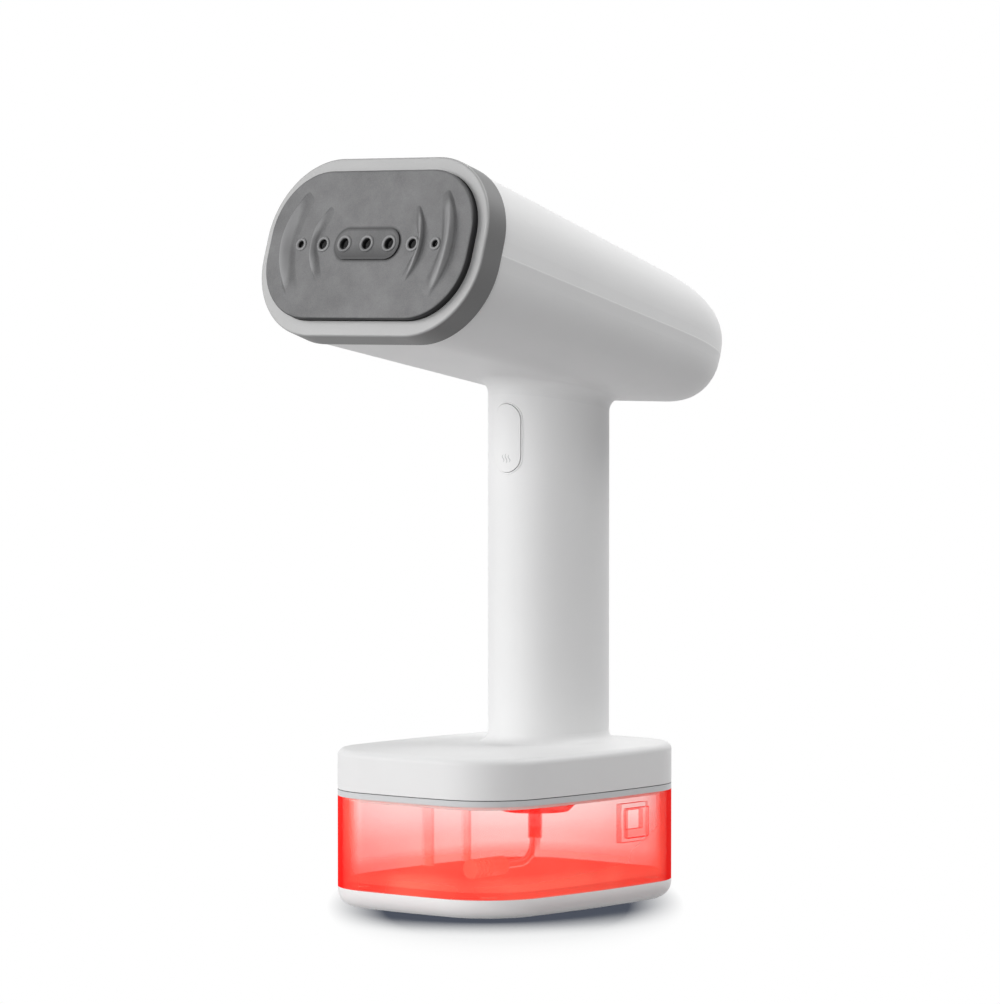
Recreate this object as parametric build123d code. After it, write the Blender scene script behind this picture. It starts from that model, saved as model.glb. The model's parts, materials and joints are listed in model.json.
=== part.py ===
from build123d import *
import os
from math import atan, atan2, cos, hypot, radians, sin, sqrt, tan

# Hand-held garment steamer: a tilted steam head on an oval handle, standing on a detachable water tank.
# Millimetres, +Z up, the steam face looks towards -Y, the origin lies under the middle of the base.

# Clearances shared by all pieces.
MOVE_GAP = 0.3
FIT_GAP = 0.15
RUN_GAP = 0.05
TINY = 0.4
REACH = 400.0

# Base footprint, made of side, end and corner arcs that run into each other.
BASE_W = 91.5
BASE_L = 117.3
SIDE_R = 395.0
END_R = 363.0
CORNER_R = 25.7

# Heights of the base, from the floor up.
PAD_T = 1.2
PAD_PROUD = 0.4
PAD_INSET = 16.0
TRAY_TOP = 7.4
TRAY_FLOOR = 2.8
TRAY_WALL = 3.0
TRAY_EDGE_R = 6.0
TANK_TOP = 40.4
TANK_WALL = 2.2
TANK_FLOOR = 2.5
LID_T = 2.1
LID_RIM_IN = 1.4
LID_RIM_WALL = 1.6
COVER_TOP = 57.4
COVER_WALL = 2.4
COVER_EDGE_R = 2.5
COVER_FLOOR_T = 2.7
COLLAR_H = 4.0
COLLAR_R = 4.0

# Screws.
SCREW_HEAD_D = 5.0
SCREW_HEAD_H = 1.5
SCREW_SLOT_L = 3.0
SCREW_SLOT_W = 0.8
SCREW_SLOT_DEEP = 0.6
SCREW_D = 2.5
FLOOR_SCREW_GRIP = 7.0
PLATE_SCREW_GRIP = 6.0
BOARD_SCREW_GRIP = 2.4
BOSS_D = 7.0
TRAY_SCREW_INSET_X = 16.5
TRAY_SCREW_INSET_Y = 14.5
COVER_SCREW_INSET = 8.6

# Handle.
HANDLE_Y = 24.6
HANDLE_A = 21.0
HANDLE_B = 24.0
HANDLE_WALL = 2.8
SPIGOT_WALL = 1.4
NECK_DROP = 6.0
NECK_R = 5.0
NECK_SOCKET = 2.5
HANDLE_BOSS_D = 8.4
HANDLE_BOSS_X = 14.6
BOSS_TOP = 74.0

# Steam head: front plate centre, tilt, plate, bezel and barrel.
FACE_Y = -75.61
FACE_Z = 239.0
HEAD_TILT = 17.57
PLATE_T = 1.6
PLATE_EDGE_R = 0.8
PLATE_PROUD = 2.9
HOLE_MARGIN = 15.47
HOLE_D = (4.2, 4.2, 3.7, 2.7)
PAD_RIDGE_END = 9.08
PAD_RIDGE_H = 11.5
PAD_RIDGE_T = 0.5
BEZEL_LIP = 0.55
BEZEL_SIDE_BAND = 4.5
BEZEL_END_BAND = 5.6
BEZEL_DEPTH = 10.15
BEZEL_BAND = 2.4
BEZEL_WALL = 2.2
BEZEL_EDGE = 0.8
BARREL_W = 101.6
BARREL_H = 65.0
BARREL_FLAT = 8.0
BARREL_REAR_W = 89.1
BARREL_REAR_H = 41.4
BARREL_RISE = 9.54
BARREL_LENGTH = 162.5
DOME_LENGTH = 56.5
DOME_POWER = 2.71
DOME_STEPS = (0.998, 0.987, 0.96, 0.91, 0.83, 0.73, 0.61, 0.48, 0.35, 0.22, 0.1)
SEAM_DRAFT = 3.0
SHELL_WALL = 2.6
LIP_WALL = 1.4

# Steam generator.
GASKET_WALL = 4.2
GASKET_FLANGE = 3.3
FRAME_T = 3.4
BLOCK_DEPTH = 18.4
BLOCK_FACE = 4.4
ELEMENT_D = 5.6
ELEMENT_WALL = 1.25
ELEMENT_DEPTH = 11.6
CAVITY_WALL = 1.0
ELEMENT_END_U = 8.0
ELEMENT_TAIL = 12.0
EAR_T = 3.0
EAR_W = 8.0
EAR_U = 20.0
EAR_OUT = 5.4
SEAL_T = 1.0
BOILER_LID_T = 2.4
LID_SCREW_U = 24.0
LID_SCREW_LEN = 7.0
NOZZLE_V = 6.0
NOZZLE_D = 5.0
NOZZLE_LEN = 12.0
NOZZLE_FLANGE_D = 9.0
NOZZLE_FLANGE_T = 2.0
NOZZLE_BORE = 2.4
THERMOSTAT_U = -19.0
THERMOSTAT_D = 16.0
THERMOSTAT_T = 5.6
THERMOSTAT_CAP_D = 11.0
THERMOSTAT_CAP_T = 3.0
BLADE_T = 0.8
BLADE_W = 5.0
BLADE_L = 9.0
FUSE_U = 20.0
FUSE_D = 4.2
FUSE_L = 13.0
FUSE_LEAD_D = 1.0
FUSE_LEAD_L = 6.0

# Steam trigger, its switch and bracket.
TRIGGER_Z = 169.0
TRIGGER_W = 11.8
TRIGGER_H = 24.8
TRIGGER_GAP = 0.3
TRIGGER_PROUD = 0.4
TRIGGER_FLANGE = 1.5
TRIGGER_DEPTH = 8.0
TRIGGER_TRAVEL = 2.5
BRACKET_T = 2.0
BRACKET_H = 26.0
BRACKET_DROP = 4.0
BRACKET_ROOM = 8.5
RAIL_T = 3.0
SWITCH_W = 6.0
SWITCH_H = 11.0
SWITCH_T = 4.6
SWITCH_DROP = 5.0
PLUNGER_D = 2.2
PLUNGER_IN = 1.2
SPRING_RISE = 5.0
SPRING_R = 2.6
SPRING_WIRE = 0.7
SPRING_TURNS = 5

# Power button, board and cord gland at the back of the handle.
BOARD_Y = 14.0
BOARD_T = 1.6
BOARD_W = 24.0
BOARD_LOW = 86.0
BOARD_HIGH = 174.0
BOARD_RIB_X = 9.5
BOARD_RIB_W = 5.0
BOARD_SCREW_END = 5.0
POWER_Z = 160.0
POWER_D = 10.0
POWER_FLANGE = 1.4
POWER_PROUD = 0.6
POWER_TRAVEL = 0.8
TACT_SIDE = 6.0
TACT_T = 2.2
LENS_Z = 147.0
LENS_D = 3.4
RELAY = (15.0, 8.6, 14.0)
RELAY_Z = 118.5
RELAY_R = 0.8
TERMINAL = (18.0, 7.0, 12.0)
TERMINAL_Z = 104.0
GLAND_Z = 76.0
GLAND_D = 11.0
GLAND_BORE = 7.0
GLAND_HEAD_D = 14.0
GLAND_OUT = 2.0
GLAND_IN = 2.0

# Pump and hoses.
PUMP_Y = 17.0
PUMP_PLATE_T = 2.4
PUMP_TUBE_D = 11.0
PUMP_BORE = 8.4
PUMP_FLANGE_D = 20.0
PUMP_FLANGE_T = 2.0
COIL_D = 21.0
COIL_H = 22.0
PUMP_CAP_T = 5.0
PORT_D = 5.0
PORT_BORE = 2.4
PORT_H = 8.0
PLUNGER_TRAVEL = 1.5
PUMP_PLUNGER_H = 16.0
HOSE_D = 8.0
HOSE_BEND = 13.0
HOSE_BACK = 12.2
SUCTION_HOSE_D = 8.0

# Tank coupling and pickup.
TOWER_D = 11.0
TOWER_BORE = 7.4
TOWER_H = 7.2
CUP_WALL = 1.8
CUP_ROOF = 2.0
PIN_D = 4.4
PIN_LEN = 5.5
RING_WIRE = 1.1
DISC_D = 28.5
DISC_T = 8.4
DISC_TAPER = 2.2
STEM_D = 4.4
STEM_BORE = 3.2
STEM_END = 22.0
DIP_D = 3.0
DIP_GRIP = 4.0
DIP_BEND = 8.0
WEIGHT_D = 7.0
WEIGHT_L = 18.0
WEIGHT_FRONT_Y = -20.0
SLOT_START = 2.0
SLOT_PITCH = 2.2
SLOT_W = 0.9
SLOT_DEEP = 0.7
RIB_YS = (4.8, 25.4)
RIB_T = 1.6
RIB_DEPTH = 4.5

# Filler flap in the tank's +X wall.
FLAP_Y = 21.0
FLAP_W = 13.0
FLAP_LOW = 24.7
FLAP_H = 10.9
FLAP_T = 1.6
MOUTH_PAD = 2.0
MOUTH_FRAME = 1.6
MOUTH_LIFT = 1.9
MOUTH_H = 7.0

# Sizes and places that follow from the sizes above.
BARREL_R = (BARREL_H - BARREL_FLAT) / 2
BEZEL_W = BARREL_W + 2 * BEZEL_LIP
BEZEL_H = BARREL_H + 2 * BEZEL_LIP
BEZEL_R = BARREL_R + BEZEL_LIP
PLATE_W = BEZEL_W - 2 * BEZEL_SIDE_BAND
PLATE_H = BEZEL_H - 2 * BEZEL_END_BAND
PLATE_R = BEZEL_R - BEZEL_END_BAND
HOLE_PITCH = (PLATE_W / 2 - HOLE_MARGIN) / 3
PAD_RIDGE_W = 2 * HOLE_PITCH + PAD_RIDGE_END
RIB_TOP = TANK_TOP - LID_RIM_IN - MOVE_GAP
SIDE_C = BASE_W / 2 - SIDE_R
END_C = BASE_L / 2 - END_R
FRAME_BACK = PLATE_PROUD + BEZEL_BAND + GASKET_FLANGE + FRAME_T
BARREL_START = PLATE_PROUD + BEZEL_DEPTH
DOME_START = BARREL_START + BARREL_LENGTH - DOME_LENGTH
BLOCK_INSET = GASKET_WALL + MOVE_GAP
BLOCK_BACK = PLATE_T + BLOCK_DEPTH
SEAL_BACK = BLOCK_BACK + SEAL_T
BOILER_BACK = SEAL_BACK + BOILER_LID_T
ELEMENT_INSET = BLOCK_INSET + ELEMENT_WALL + ELEMENT_D / 2
CAVITY_INSET = ELEMENT_INSET + ELEMENT_D / 2 + CAVITY_WALL
LID_TOP = TANK_TOP + LID_T
COVER_LOW = LID_TOP + MOVE_GAP
COVER_FLOOR_TOP = COVER_LOW + COVER_FLOOR_T
COLLAR_TOP = COVER_TOP + COLLAR_H
TOWER_TOP = LID_TOP + TOWER_H
CUP_CEILING = TOWER_TOP + 2 * MOVE_GAP
CUP_TOP = CUP_CEILING + CUP_ROOF
PLATE_LOW = BOSS_TOP
PUMP_LOW = PLATE_LOW + PUMP_PLATE_T
COIL_LOW = PUMP_LOW + PUMP_FLANGE_T
COIL_HIGH = COIL_LOW + COIL_H
PUMP_HIGH = COIL_HIGH + PUMP_CAP_T
PORT_HIGH = PUMP_HIGH + PORT_H
HANDLE_FRONT = HANDLE_Y - HANDLE_B
HANDLE_BACK = HANDLE_Y + HANDLE_B
TRIGGER_BACK = HANDLE_FRONT + TRIGGER_DEPTH
BRACKET_FRONT = TRIGGER_BACK + BRACKET_ROOM
BRACKET_BACK = BRACKET_FRONT + BRACKET_T
BOARD_FRONT = HANDLE_Y + BOARD_Y
BOARD_BACK = BOARD_FRONT + BOARD_T
HINGE_Z = FLAP_LOW + MOVE_GAP + FLAP_T / 2

HEAD = Plane(
    origin=(0, FACE_Y, FACE_Z),
    x_dir=(1, 0, 0),
    z_dir=(0, -cos(radians(HEAD_TILT)), sin(radians(HEAD_TILT))),
)


def prism(sketch, low, high):
    """An upright solid of one outline between two heights."""
    return extrude(Plane.XY.offset(low) * sketch, amount=high - low, dir=(0, 0, 1))


def head_prism(sketch, front, back):
    """A solid of one outline in the head's frame, between two depths behind the steam face."""
    return extrude(HEAD.offset(-front) * sketch, amount=back - front, dir=HEAD.z_dir * -1)


def rod(x, y, diameter, low, high):
    """An upright round bar."""
    return prism(Pos(x, y) * Circle(diameter / 2), low, high)


def rod_y(x, z, diameter, front, back):
    """A round bar along Y."""
    plane = Plane(origin=(x, front, z), x_dir=(1, 0, 0), z_dir=(0, 1, 0))
    return extrude(plane * Circle(diameter / 2), amount=back - front)


def block(x0, x1, y0, y1, z0, z1):
    """A box given by its limits."""
    return Pos((x0 + x1) / 2, (y0 + y1) / 2, (z0 + z1) / 2) * Box(x1 - x0, y1 - y0, z1 - z0)


def screw(seat, length):
    """A screw standing on its seat's plane, with its head above and its shank along -Z."""
    head = Cylinder(SCREW_HEAD_D / 2, SCREW_HEAD_H, align=(Align.CENTER, Align.CENTER, Align.MIN))
    shank = Pos(0, 0, -length) * Cylinder(
        SCREW_D / 2, length + TINY, align=(Align.CENTER, Align.CENTER, Align.MIN)
    )
    deep = 2 * SCREW_SLOT_DEEP
    cross = Box(SCREW_SLOT_L, SCREW_SLOT_W, deep) + Box(SCREW_SLOT_W, SCREW_SLOT_L, deep)
    slot = Pos(0, 0, SCREW_HEAD_H) * cross
    return seat * (head + shank - slot)


def coil(place, radius, wire, height, turns):
    """A round-wire spring that fills a height, standing on a place."""
    pitch = (height - wire) / turns
    path = Helix(pitch, height - wire, radius)
    profile = Plane(origin=path @ 0, z_dir=path % 0) * Circle(wire / 2)
    return place * Pos(0, 0, wire / 2) * sweep(profile, path=path, is_frenet=True)


def base_outline(inset=0.0):
    """The base's footprint, moved inwards by an inset."""
    side, end, corner = SIDE_R - inset, END_R - inset, CORNER_R - inset
    reach = hypot(SIDE_C, END_C)
    along = ((SIDE_R - CORNER_R) ** 2 - (END_R - CORNER_R) ** 2 + reach**2) / (2 * reach)
    across = sqrt((SIDE_R - CORNER_R) ** 2 - along**2)
    ex, ey = -SIDE_C / reach, END_C / reach
    cx = SIDE_C + along * ex - across * ey
    cy = along * ey + across * ex
    t1, t2 = atan2(cy, cx - SIDE_C), atan2(cy - END_C, cx)
    turn = (t1 + t2) / 2
    p1 = (SIDE_C + side * cos(t1), side * sin(t1))
    p2 = (end * cos(t2), END_C + end * sin(t2))
    pm = (cx + corner * cos(turn), cy + corner * sin(turn))
    edges = []
    for sx, sy in ((1, 1), (-1, 1), (-1, -1), (1, -1)):
        start, middle, stop = [(sx * p[0], sy * p[1]) for p in (p1, pm, p2)]
        edges.append(ThreePointArc(start, middle, stop))
    for s in (1, -1):
        edges.append(ThreePointArc((s * p1[0], -p1[1]), (s * (BASE_W / 2 - inset), 0), (s * p1[0], p1[1])))
        edges.append(ThreePointArc((-p2[0], s * p2[1]), (0, s * (BASE_L / 2 - inset)), (p2[0], s * p2[1])))
    return make_face(edges)


def oval(inset=0.0):
    """The handle's section, moved inwards by an inset."""
    return Pos(0, HANDLE_Y) * Ellipse(HANDLE_A - inset, HANDLE_B - inset)


def plate_outline(inset=0.0):
    return RectangleRounded(PLATE_W - 2 * inset, PLATE_H - 2 * inset, PLATE_R - inset)


def bezel_outline(inset=0.0):
    return RectangleRounded(BEZEL_W - 2 * inset, BEZEL_H - 2 * inset, BEZEL_R - inset)


def base_screw_spots():
    x, y = BASE_W / 2 - TRAY_SCREW_INSET_X, BASE_L / 2 - TRAY_SCREW_INSET_Y
    return [(x, y), (-x, y), (-x, -y), (x, -y)]


def cover_screw_spots():
    inset = COVER_SCREW_INSET + CORNER_R / 4
    x, y = BASE_W / 2 - inset, BASE_L / 2 - inset
    return [(x, y), (-x, y), (-x, -y), (x, -y)]


# Base: pad, tray, tank, lid.


def make_pad():
    return prism(base_outline(PAD_INSET), 0, PAD_T)


def make_tray():
    body = prism(base_outline(), PAD_PROUD, TRAY_TOP)
    body = fillet(body.faces().sort_by(Axis.Z)[0].edges(), TRAY_EDGE_R)
    body -= prism(base_outline(TRAY_WALL), PAD_PROUD + TRAY_FLOOR, TRAY_TOP)
    body -= prism(base_outline(PAD_INSET - FIT_GAP), PAD_PROUD, PAD_T)
    seat = PAD_PROUD + SCREW_HEAD_H + RUN_GAP
    for x, y in base_screw_spots():
        body -= rod(x, y, SCREW_HEAD_D + 4 * FIT_GAP, PAD_PROUD, seat)
        body -= rod(x, y, SCREW_D + 2 * FIT_GAP, seat, PAD_PROUD + TRAY_FLOOR)
    return body


def tray_screw_length():
    return TRAY_TOP - PAD_PROUD - SCREW_HEAD_H


def make_tray_screws():
    seat = PAD_PROUD + SCREW_HEAD_H + RUN_GAP
    return [
        screw(Plane(origin=(x, y, seat), x_dir=(1, 0, 0), z_dir=(0, 0, -1)), tray_screw_length())
        for x, y in base_screw_spots()
    ]


def flap_box(gap, inner, outer, low, high):
    """A block across the tank's +X wall at the flap, between two depths measured from the hinge line."""
    half = FLAP_W / 2 - gap
    x = hinge_x()
    return block(x + inner, x + outer, FLAP_Y - half, FLAP_Y + half, low, high)


def hinge_x():
    """The hinge line lies half the flap's thickness inside the wall at the flap's far end."""
    far = FLAP_Y + FLAP_W / 2
    return SIDE_C + sqrt(SIDE_R**2 - far**2) - FLAP_T / 2


def mouth_low():
    return HINGE_Z + MOUTH_LIFT


def pocket_floor():
    return -FLAP_T / 2 - MOVE_GAP


def make_tank_shell():
    body = prism(base_outline(), TRAY_TOP, TANK_TOP)
    inside = prism(base_outline(TANK_WALL), TRAY_TOP + TANK_FLOOR, TANK_TOP)
    low, high = FLAP_LOW - MOUTH_FRAME, FLAP_LOW + FLAP_H + MOUTH_FRAME
    pad = flap_box(-MOUTH_FRAME, pocket_floor() - MOUTH_PAD, TANK_WALL, low, high)
    shell = body - inside + (pad & body)
    shell -= flap_box(0, pocket_floor(), 2 * TANK_WALL, FLAP_LOW, FLAP_LOW + FLAP_H)
    shell -= flap_box(
        MOUTH_FRAME, pocket_floor() - 2 * MOUTH_PAD, 0, mouth_low(), mouth_low() + MOUTH_H
    )
    far_wall = -(BASE_W / 2 - TANK_WALL)
    for y in RIB_YS:
        low, high = y - RIB_T / 2, y + RIB_T / 2
        rib = block(far_wall - TANK_WALL, far_wall + RIB_DEPTH, low, high, TRAY_TOP, RIB_TOP)
        shell += rib & body
    for x, y in base_screw_spots():
        boss = rod(x, y, BOSS_D, PAD_PROUD + TRAY_FLOOR, TRAY_TOP + TINY)
        shell += boss
        tip = PAD_PROUD + SCREW_HEAD_H + tray_screw_length() + TINY
        shell -= rod(x, y, SCREW_D + 2 * RUN_GAP, PAD_PROUD + TRAY_FLOOR, tip)
    return shell


def make_flap():
    """The filler flap: a plate in the wall's pocket, rounded round its hinge line at the bottom."""
    top = FLAP_LOW + FLAP_H - MOVE_GAP
    plate = flap_box(MOVE_GAP, -FLAP_T / 2, FLAP_T / 2, HINGE_Z, top)
    x = hinge_x()
    barrel = rod_y(x, HINGE_Z, FLAP_T, FLAP_Y - FLAP_W / 2 + MOVE_GAP, FLAP_Y + FLAP_W / 2 - MOVE_GAP)
    return plate + barrel


def make_tank_lid():
    plate = prism(base_outline(), TANK_TOP, LID_TOP)
    rim_gap = TANK_WALL + RING_WIRE + FIT_GAP
    rim = prism(base_outline(rim_gap), TANK_TOP - LID_RIM_IN, TANK_TOP)
    rim -= prism(base_outline(rim_gap + LID_RIM_WALL), TANK_TOP - LID_RIM_IN, TANK_TOP)
    return plate + rim - rod(0, PUMP_Y, TOWER_D + 2 * FIT_GAP, TANK_TOP, LID_TOP)


def make_lid_seal():
    ring = prism(base_outline(TANK_WALL + FIT_GAP / 2), TANK_TOP - RING_WIRE, TANK_TOP)
    return ring - prism(base_outline(TANK_WALL + RING_WIRE), TANK_TOP - RING_WIRE, TANK_TOP)


def make_pickup():
    """The round pickup fitting under the lid: disc, tower up through the lid and stem down into the water."""
    disc = rod(0, PUMP_Y, DISC_D, TANK_TOP - DISC_T, TANK_TOP)
    disc = chamfer(disc.edges().sort_by(Axis.Z)[0], DISC_TAPER)
    tower = rod(0, PUMP_Y, TOWER_D, TANK_TOP - DISC_T, TOWER_TOP)
    stem = rod(0, PUMP_Y, STEM_D, STEM_END, TANK_TOP - DISC_T)
    fitting = disc + tower + stem
    fitting -= rod(0, PUMP_Y, TOWER_BORE, TANK_TOP, TOWER_TOP)
    return fitting - rod(0, PUMP_Y, STEM_BORE, STEM_END, TANK_TOP)


def dip_height():
    return TRAY_TOP + TANK_FLOOR + WEIGHT_D / 2


def make_dip_hose():
    end = WEIGHT_FRONT_Y + WEIGHT_L - DIP_GRIP
    path = FilletPolyline(
        (0, PUMP_Y, STEM_END + DIP_GRIP),
        (0, PUMP_Y, dip_height()),
        (0, end, dip_height()),
        radius=DIP_BEND,
    )
    hose = sweep(Plane(origin=path @ 0, z_dir=path % 0) * Circle(DIP_D / 2), path=path)
    return hose - sweep(Plane(origin=path @ 0, z_dir=path % 0) * Circle(DIP_D / 4), path=path)


def make_weight():
    """The sinking filter at the hose's end, a slotted cartridge that lies on the tank's floor."""
    back = WEIGHT_FRONT_Y + WEIGHT_L
    body = rod_y(0, dip_height(), WEIGHT_D, WEIGHT_FRONT_Y, back)
    body -= rod_y(0, dip_height(), DIP_D + 2 * RUN_GAP, back - 2 * DIP_GRIP, back)
    for i in range(4):
        y = WEIGHT_FRONT_Y + SLOT_START + i * SLOT_PITCH
        ring = rod_y(0, dip_height(), WEIGHT_D + SLOT_W, y, y + SLOT_W)
        body -= ring - rod_y(0, dip_height(), WEIGHT_D - 2 * SLOT_DEEP, y, y + SLOT_W)
    return body


# Cover over the tank, with the handle's collar.


def make_cover():
    body = prism(base_outline(), COVER_LOW, COVER_TOP)
    body = fillet(body.faces().sort_by(Axis.Z)[-1].edges(), COVER_EDGE_R)
    body += prism(oval(), COVER_LOW, COLLAR_TOP)
    foot = [
        e
        for e in body.edges()
        if abs(e.center().Z - COVER_TOP) < RUN_GAP
        and abs(e.center().X) < HANDLE_A + TINY
        and abs(e.center().Y - HANDLE_Y) < HANDLE_B + TINY
    ]
    body = fillet(foot, COLLAR_R - FIT_GAP)
    body -= prism(base_outline(COVER_WALL), COVER_LOW, COVER_TOP - COVER_WALL)
    for x, y in cover_screw_spots():
        body += rod(x, y, BOSS_D, COVER_FLOOR_TOP, COVER_TOP - COVER_WALL)
        body -= rod(x, y, SCREW_D + 2 * RUN_GAP, COVER_FLOOR_TOP, COVER_TOP - COVER_WALL)
    return body - prism(oval(SPIGOT_WALL), COVER_LOW, COLLAR_TOP)


def make_cover_floor():
    plate = prism(base_outline(COVER_WALL + FIT_GAP), COVER_LOW, COVER_FLOOR_TOP)
    plate += rod(0, PUMP_Y, TOWER_D + 4 * MOVE_GAP + 2 * CUP_WALL, COVER_LOW, CUP_TOP)
    plate += rod(0, PUMP_Y, PORT_D, CUP_TOP, CUP_TOP + PORT_H)
    plate -= rod(0, PUMP_Y, TOWER_D + 4 * MOVE_GAP, COVER_LOW, CUP_CEILING)
    plate += rod(0, PUMP_Y, PIN_D, CUP_CEILING - PIN_LEN, CUP_CEILING + TINY)
    plate -= rod(0, PUMP_Y, PORT_BORE, CUP_CEILING - PIN_LEN, CUP_TOP + PORT_H)
    seat = COVER_LOW + SCREW_HEAD_H + RUN_GAP
    for x, y in cover_screw_spots() + handle_boss_spots():
        plate -= rod(x, y, SCREW_HEAD_D + 4 * FIT_GAP, COVER_LOW, seat)
        plate -= rod(x, y, SCREW_D + 2 * FIT_GAP, seat, COVER_FLOOR_TOP)
    return plate


def make_coupling_ring():
    middle = CUP_CEILING - PIN_LEN + 2 * RING_WIRE
    ring = rod(0, PUMP_Y, PIN_D + 2 * RING_WIRE, middle, middle + 2 * RING_WIRE)
    ring = fillet(ring.edges(), RING_WIRE * 0.8)
    return ring - rod(0, PUMP_Y, PIN_D + RUN_GAP, middle, middle + 2 * RING_WIRE)


def handle_boss_spots():
    return [(HANDLE_BOSS_X, HANDLE_Y), (-HANDLE_BOSS_X, HANDLE_Y)]


def floor_screw_length():
    return COVER_FLOOR_T - SCREW_HEAD_H + FLOOR_SCREW_GRIP


def make_floor_screws():
    seat = COVER_LOW + SCREW_HEAD_H + RUN_GAP
    return [
        screw(Plane(origin=(x, y, seat), x_dir=(1, 0, 0), z_dir=(0, 0, -1)), floor_screw_length())
        for x, y in cover_screw_spots() + handle_boss_spots()
    ]


# Handle and head shells.


def underside_slope():
    """Rise of the head's lower line per millimetre of depth, in the head's frame."""
    return (BARREL_H / 2 - BARREL_REAR_H / 2 + BARREL_RISE) / BARREL_LENGTH


def neck_plane(drop):
    """The plane of the head's underside over the handle, lowered by a drop."""
    c, s = cos(radians(HEAD_TILT)), sin(radians(HEAD_TILT))
    slope = underside_slope()
    v0 = -BARREL_H / 2 - slope * BARREL_START
    depth = (HANDLE_Y - FACE_Y - v0 * s) / (c + slope * s)
    height = FACE_Z + (v0 + slope * depth) * c - depth * s
    tilt = radians(HEAD_TILT) - atan(slope)
    return Plane(origin=(0, HANDLE_Y, height - drop), x_dir=(1, 0, 0), z_dir=(0, sin(tilt), cos(tilt)))


def above(plane):
    """All that lies over a plane."""
    return plane * (Pos(0, 0, REACH / 2) * Box(REACH, REACH, REACH))


def below(plane):
    """All that lies under a plane."""
    return plane * (Pos(0, 0, -REACH / 2) * Box(REACH, REACH, REACH))


def seam_plane():
    """The parting plane between the head's two shells."""
    rise = atan(BARREL_RISE / BARREL_LENGTH)
    tilt = radians(HEAD_TILT) - rise
    start = HEAD.from_local_coords((0, 0, -BARREL_START))
    return Plane(origin=start, x_dir=(1, 0, 0), z_dir=(0, sin(tilt), cos(tilt)))


def barrel_half(side, depth, inset, overlap):
    """Half a section of the head's barrel at one depth: the upper half for side 1, the lower for side -1."""
    share = (depth - BARREL_START) / BARREL_LENGTH
    dome = max(0.0, depth - DOME_START) / (DOME_LENGTH - inset)
    narrow = (1 - dome**DOME_POWER) ** (1 / DOME_POWER)
    hu = narrow * ((BARREL_W + (BARREL_REAR_W - BARREL_W) * share) / 2 - inset)
    hv = narrow * ((BARREL_H + (BARREL_REAR_H - BARREL_H) * share) / 2 - inset)
    radius = (BARREL_R - inset) * hv / (BARREL_H / 2 - inset)
    lean = hv * tan(radians(SEAM_DRAFT))
    middle = BARREL_RISE * share
    low, high = middle - side * overlap, middle + side * hv
    line = FilletPolyline((hu, low), (hu - lean, high), (lean - hu, high), (-hu, low), radius=radius)
    return HEAD.offset(-depth) * make_face([line, Line((-hu, low), (hu, low))])


def barrel_solid(side, inset=0.0, overlap=0.0):
    """Half of the head's barrel, straight at first and domed at its rear end."""
    straight = loft([barrel_half(side, d, inset, overlap) for d in (BARREL_START, DOME_START)], ruled=True)
    depths = [DOME_START]
    for narrow in DOME_STEPS:
        share = (1 - narrow**DOME_POWER) ** (1 / DOME_POWER)
        depths.append(DOME_START + (DOME_LENGTH - inset) * share)
    return straight + loft([barrel_half(side, d, inset, overlap) for d in depths])


def lip():
    """The head shells' front lip, a ring that slips into the bezel's skirt."""
    inset = BEZEL_WALL + FIT_GAP
    ring = head_prism(bezel_outline(inset), FRAME_BACK + MOVE_GAP, BARREL_START + 2 * LIP_WALL)
    return ring - head_prism(bezel_outline(inset + LIP_WALL), FRAME_BACK, BARREL_START + 2 * LIP_WALL)


def make_upper_shell():
    shell = barrel_solid(1) - barrel_solid(1, SHELL_WALL, LIP_WALL)
    return shell + (lip() & above(seam_plane()))


def make_lower_shell():
    body = barrel_solid(-1)
    top = neck_plane(-BARREL_REAR_H / 4).origin.Z
    column = prism(oval(), COLLAR_TOP, top)
    joined = body + column
    near = neck_plane(0).origin.Z
    rim = [
        e
        for e in joined.edges()
        if abs(e.center().Z - near) < NECK_R * 2
        and abs(e.center().X) < HANDLE_A * 1.1
        and abs(e.center().Y - HANDLE_Y) < HANDLE_B * 1.1
        and e.bounding_box().size.Z < HANDLE_B
    ]
    joined = fillet(rim, NECK_R)
    joined -= below(neck_plane(NECK_DROP))
    joined -= barrel_solid(-1, SHELL_WALL, LIP_WALL)
    tongue = prism(oval(HANDLE_WALL + FIT_GAP), COLLAR_TOP, top)
    tongue &= above(neck_plane(NECK_DROP + NECK_SOCKET)) & below(neck_plane(0))
    room = TRIGGER_BACK + TRIGGER_TRAVEL + MOVE_GAP
    ceiling = neck_plane(NECK_DROP).origin.Z + HANDLE_B
    tongue -= block(-HANDLE_A, HANDLE_A, HANDLE_FRONT, room, COLLAR_TOP, ceiling)
    joined += tongue
    joined -= prism(oval(HANDLE_WALL + FIT_GAP + SPIGOT_WALL), COLLAR_TOP, top)
    return joined + (lip() & below(seam_plane()))


def trigger_face(offset):
    """The trigger's upright stadium, made larger by an offset, drawn on the plane at Y = 0."""
    plane = Plane(origin=(0, 0, TRIGGER_Z), x_dir=(1, 0, 0), z_dir=(0, 1, 0))
    return plane * SlotOverall(TRIGGER_H + 2 * offset, TRIGGER_W + 2 * offset, rotation=90)


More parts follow.
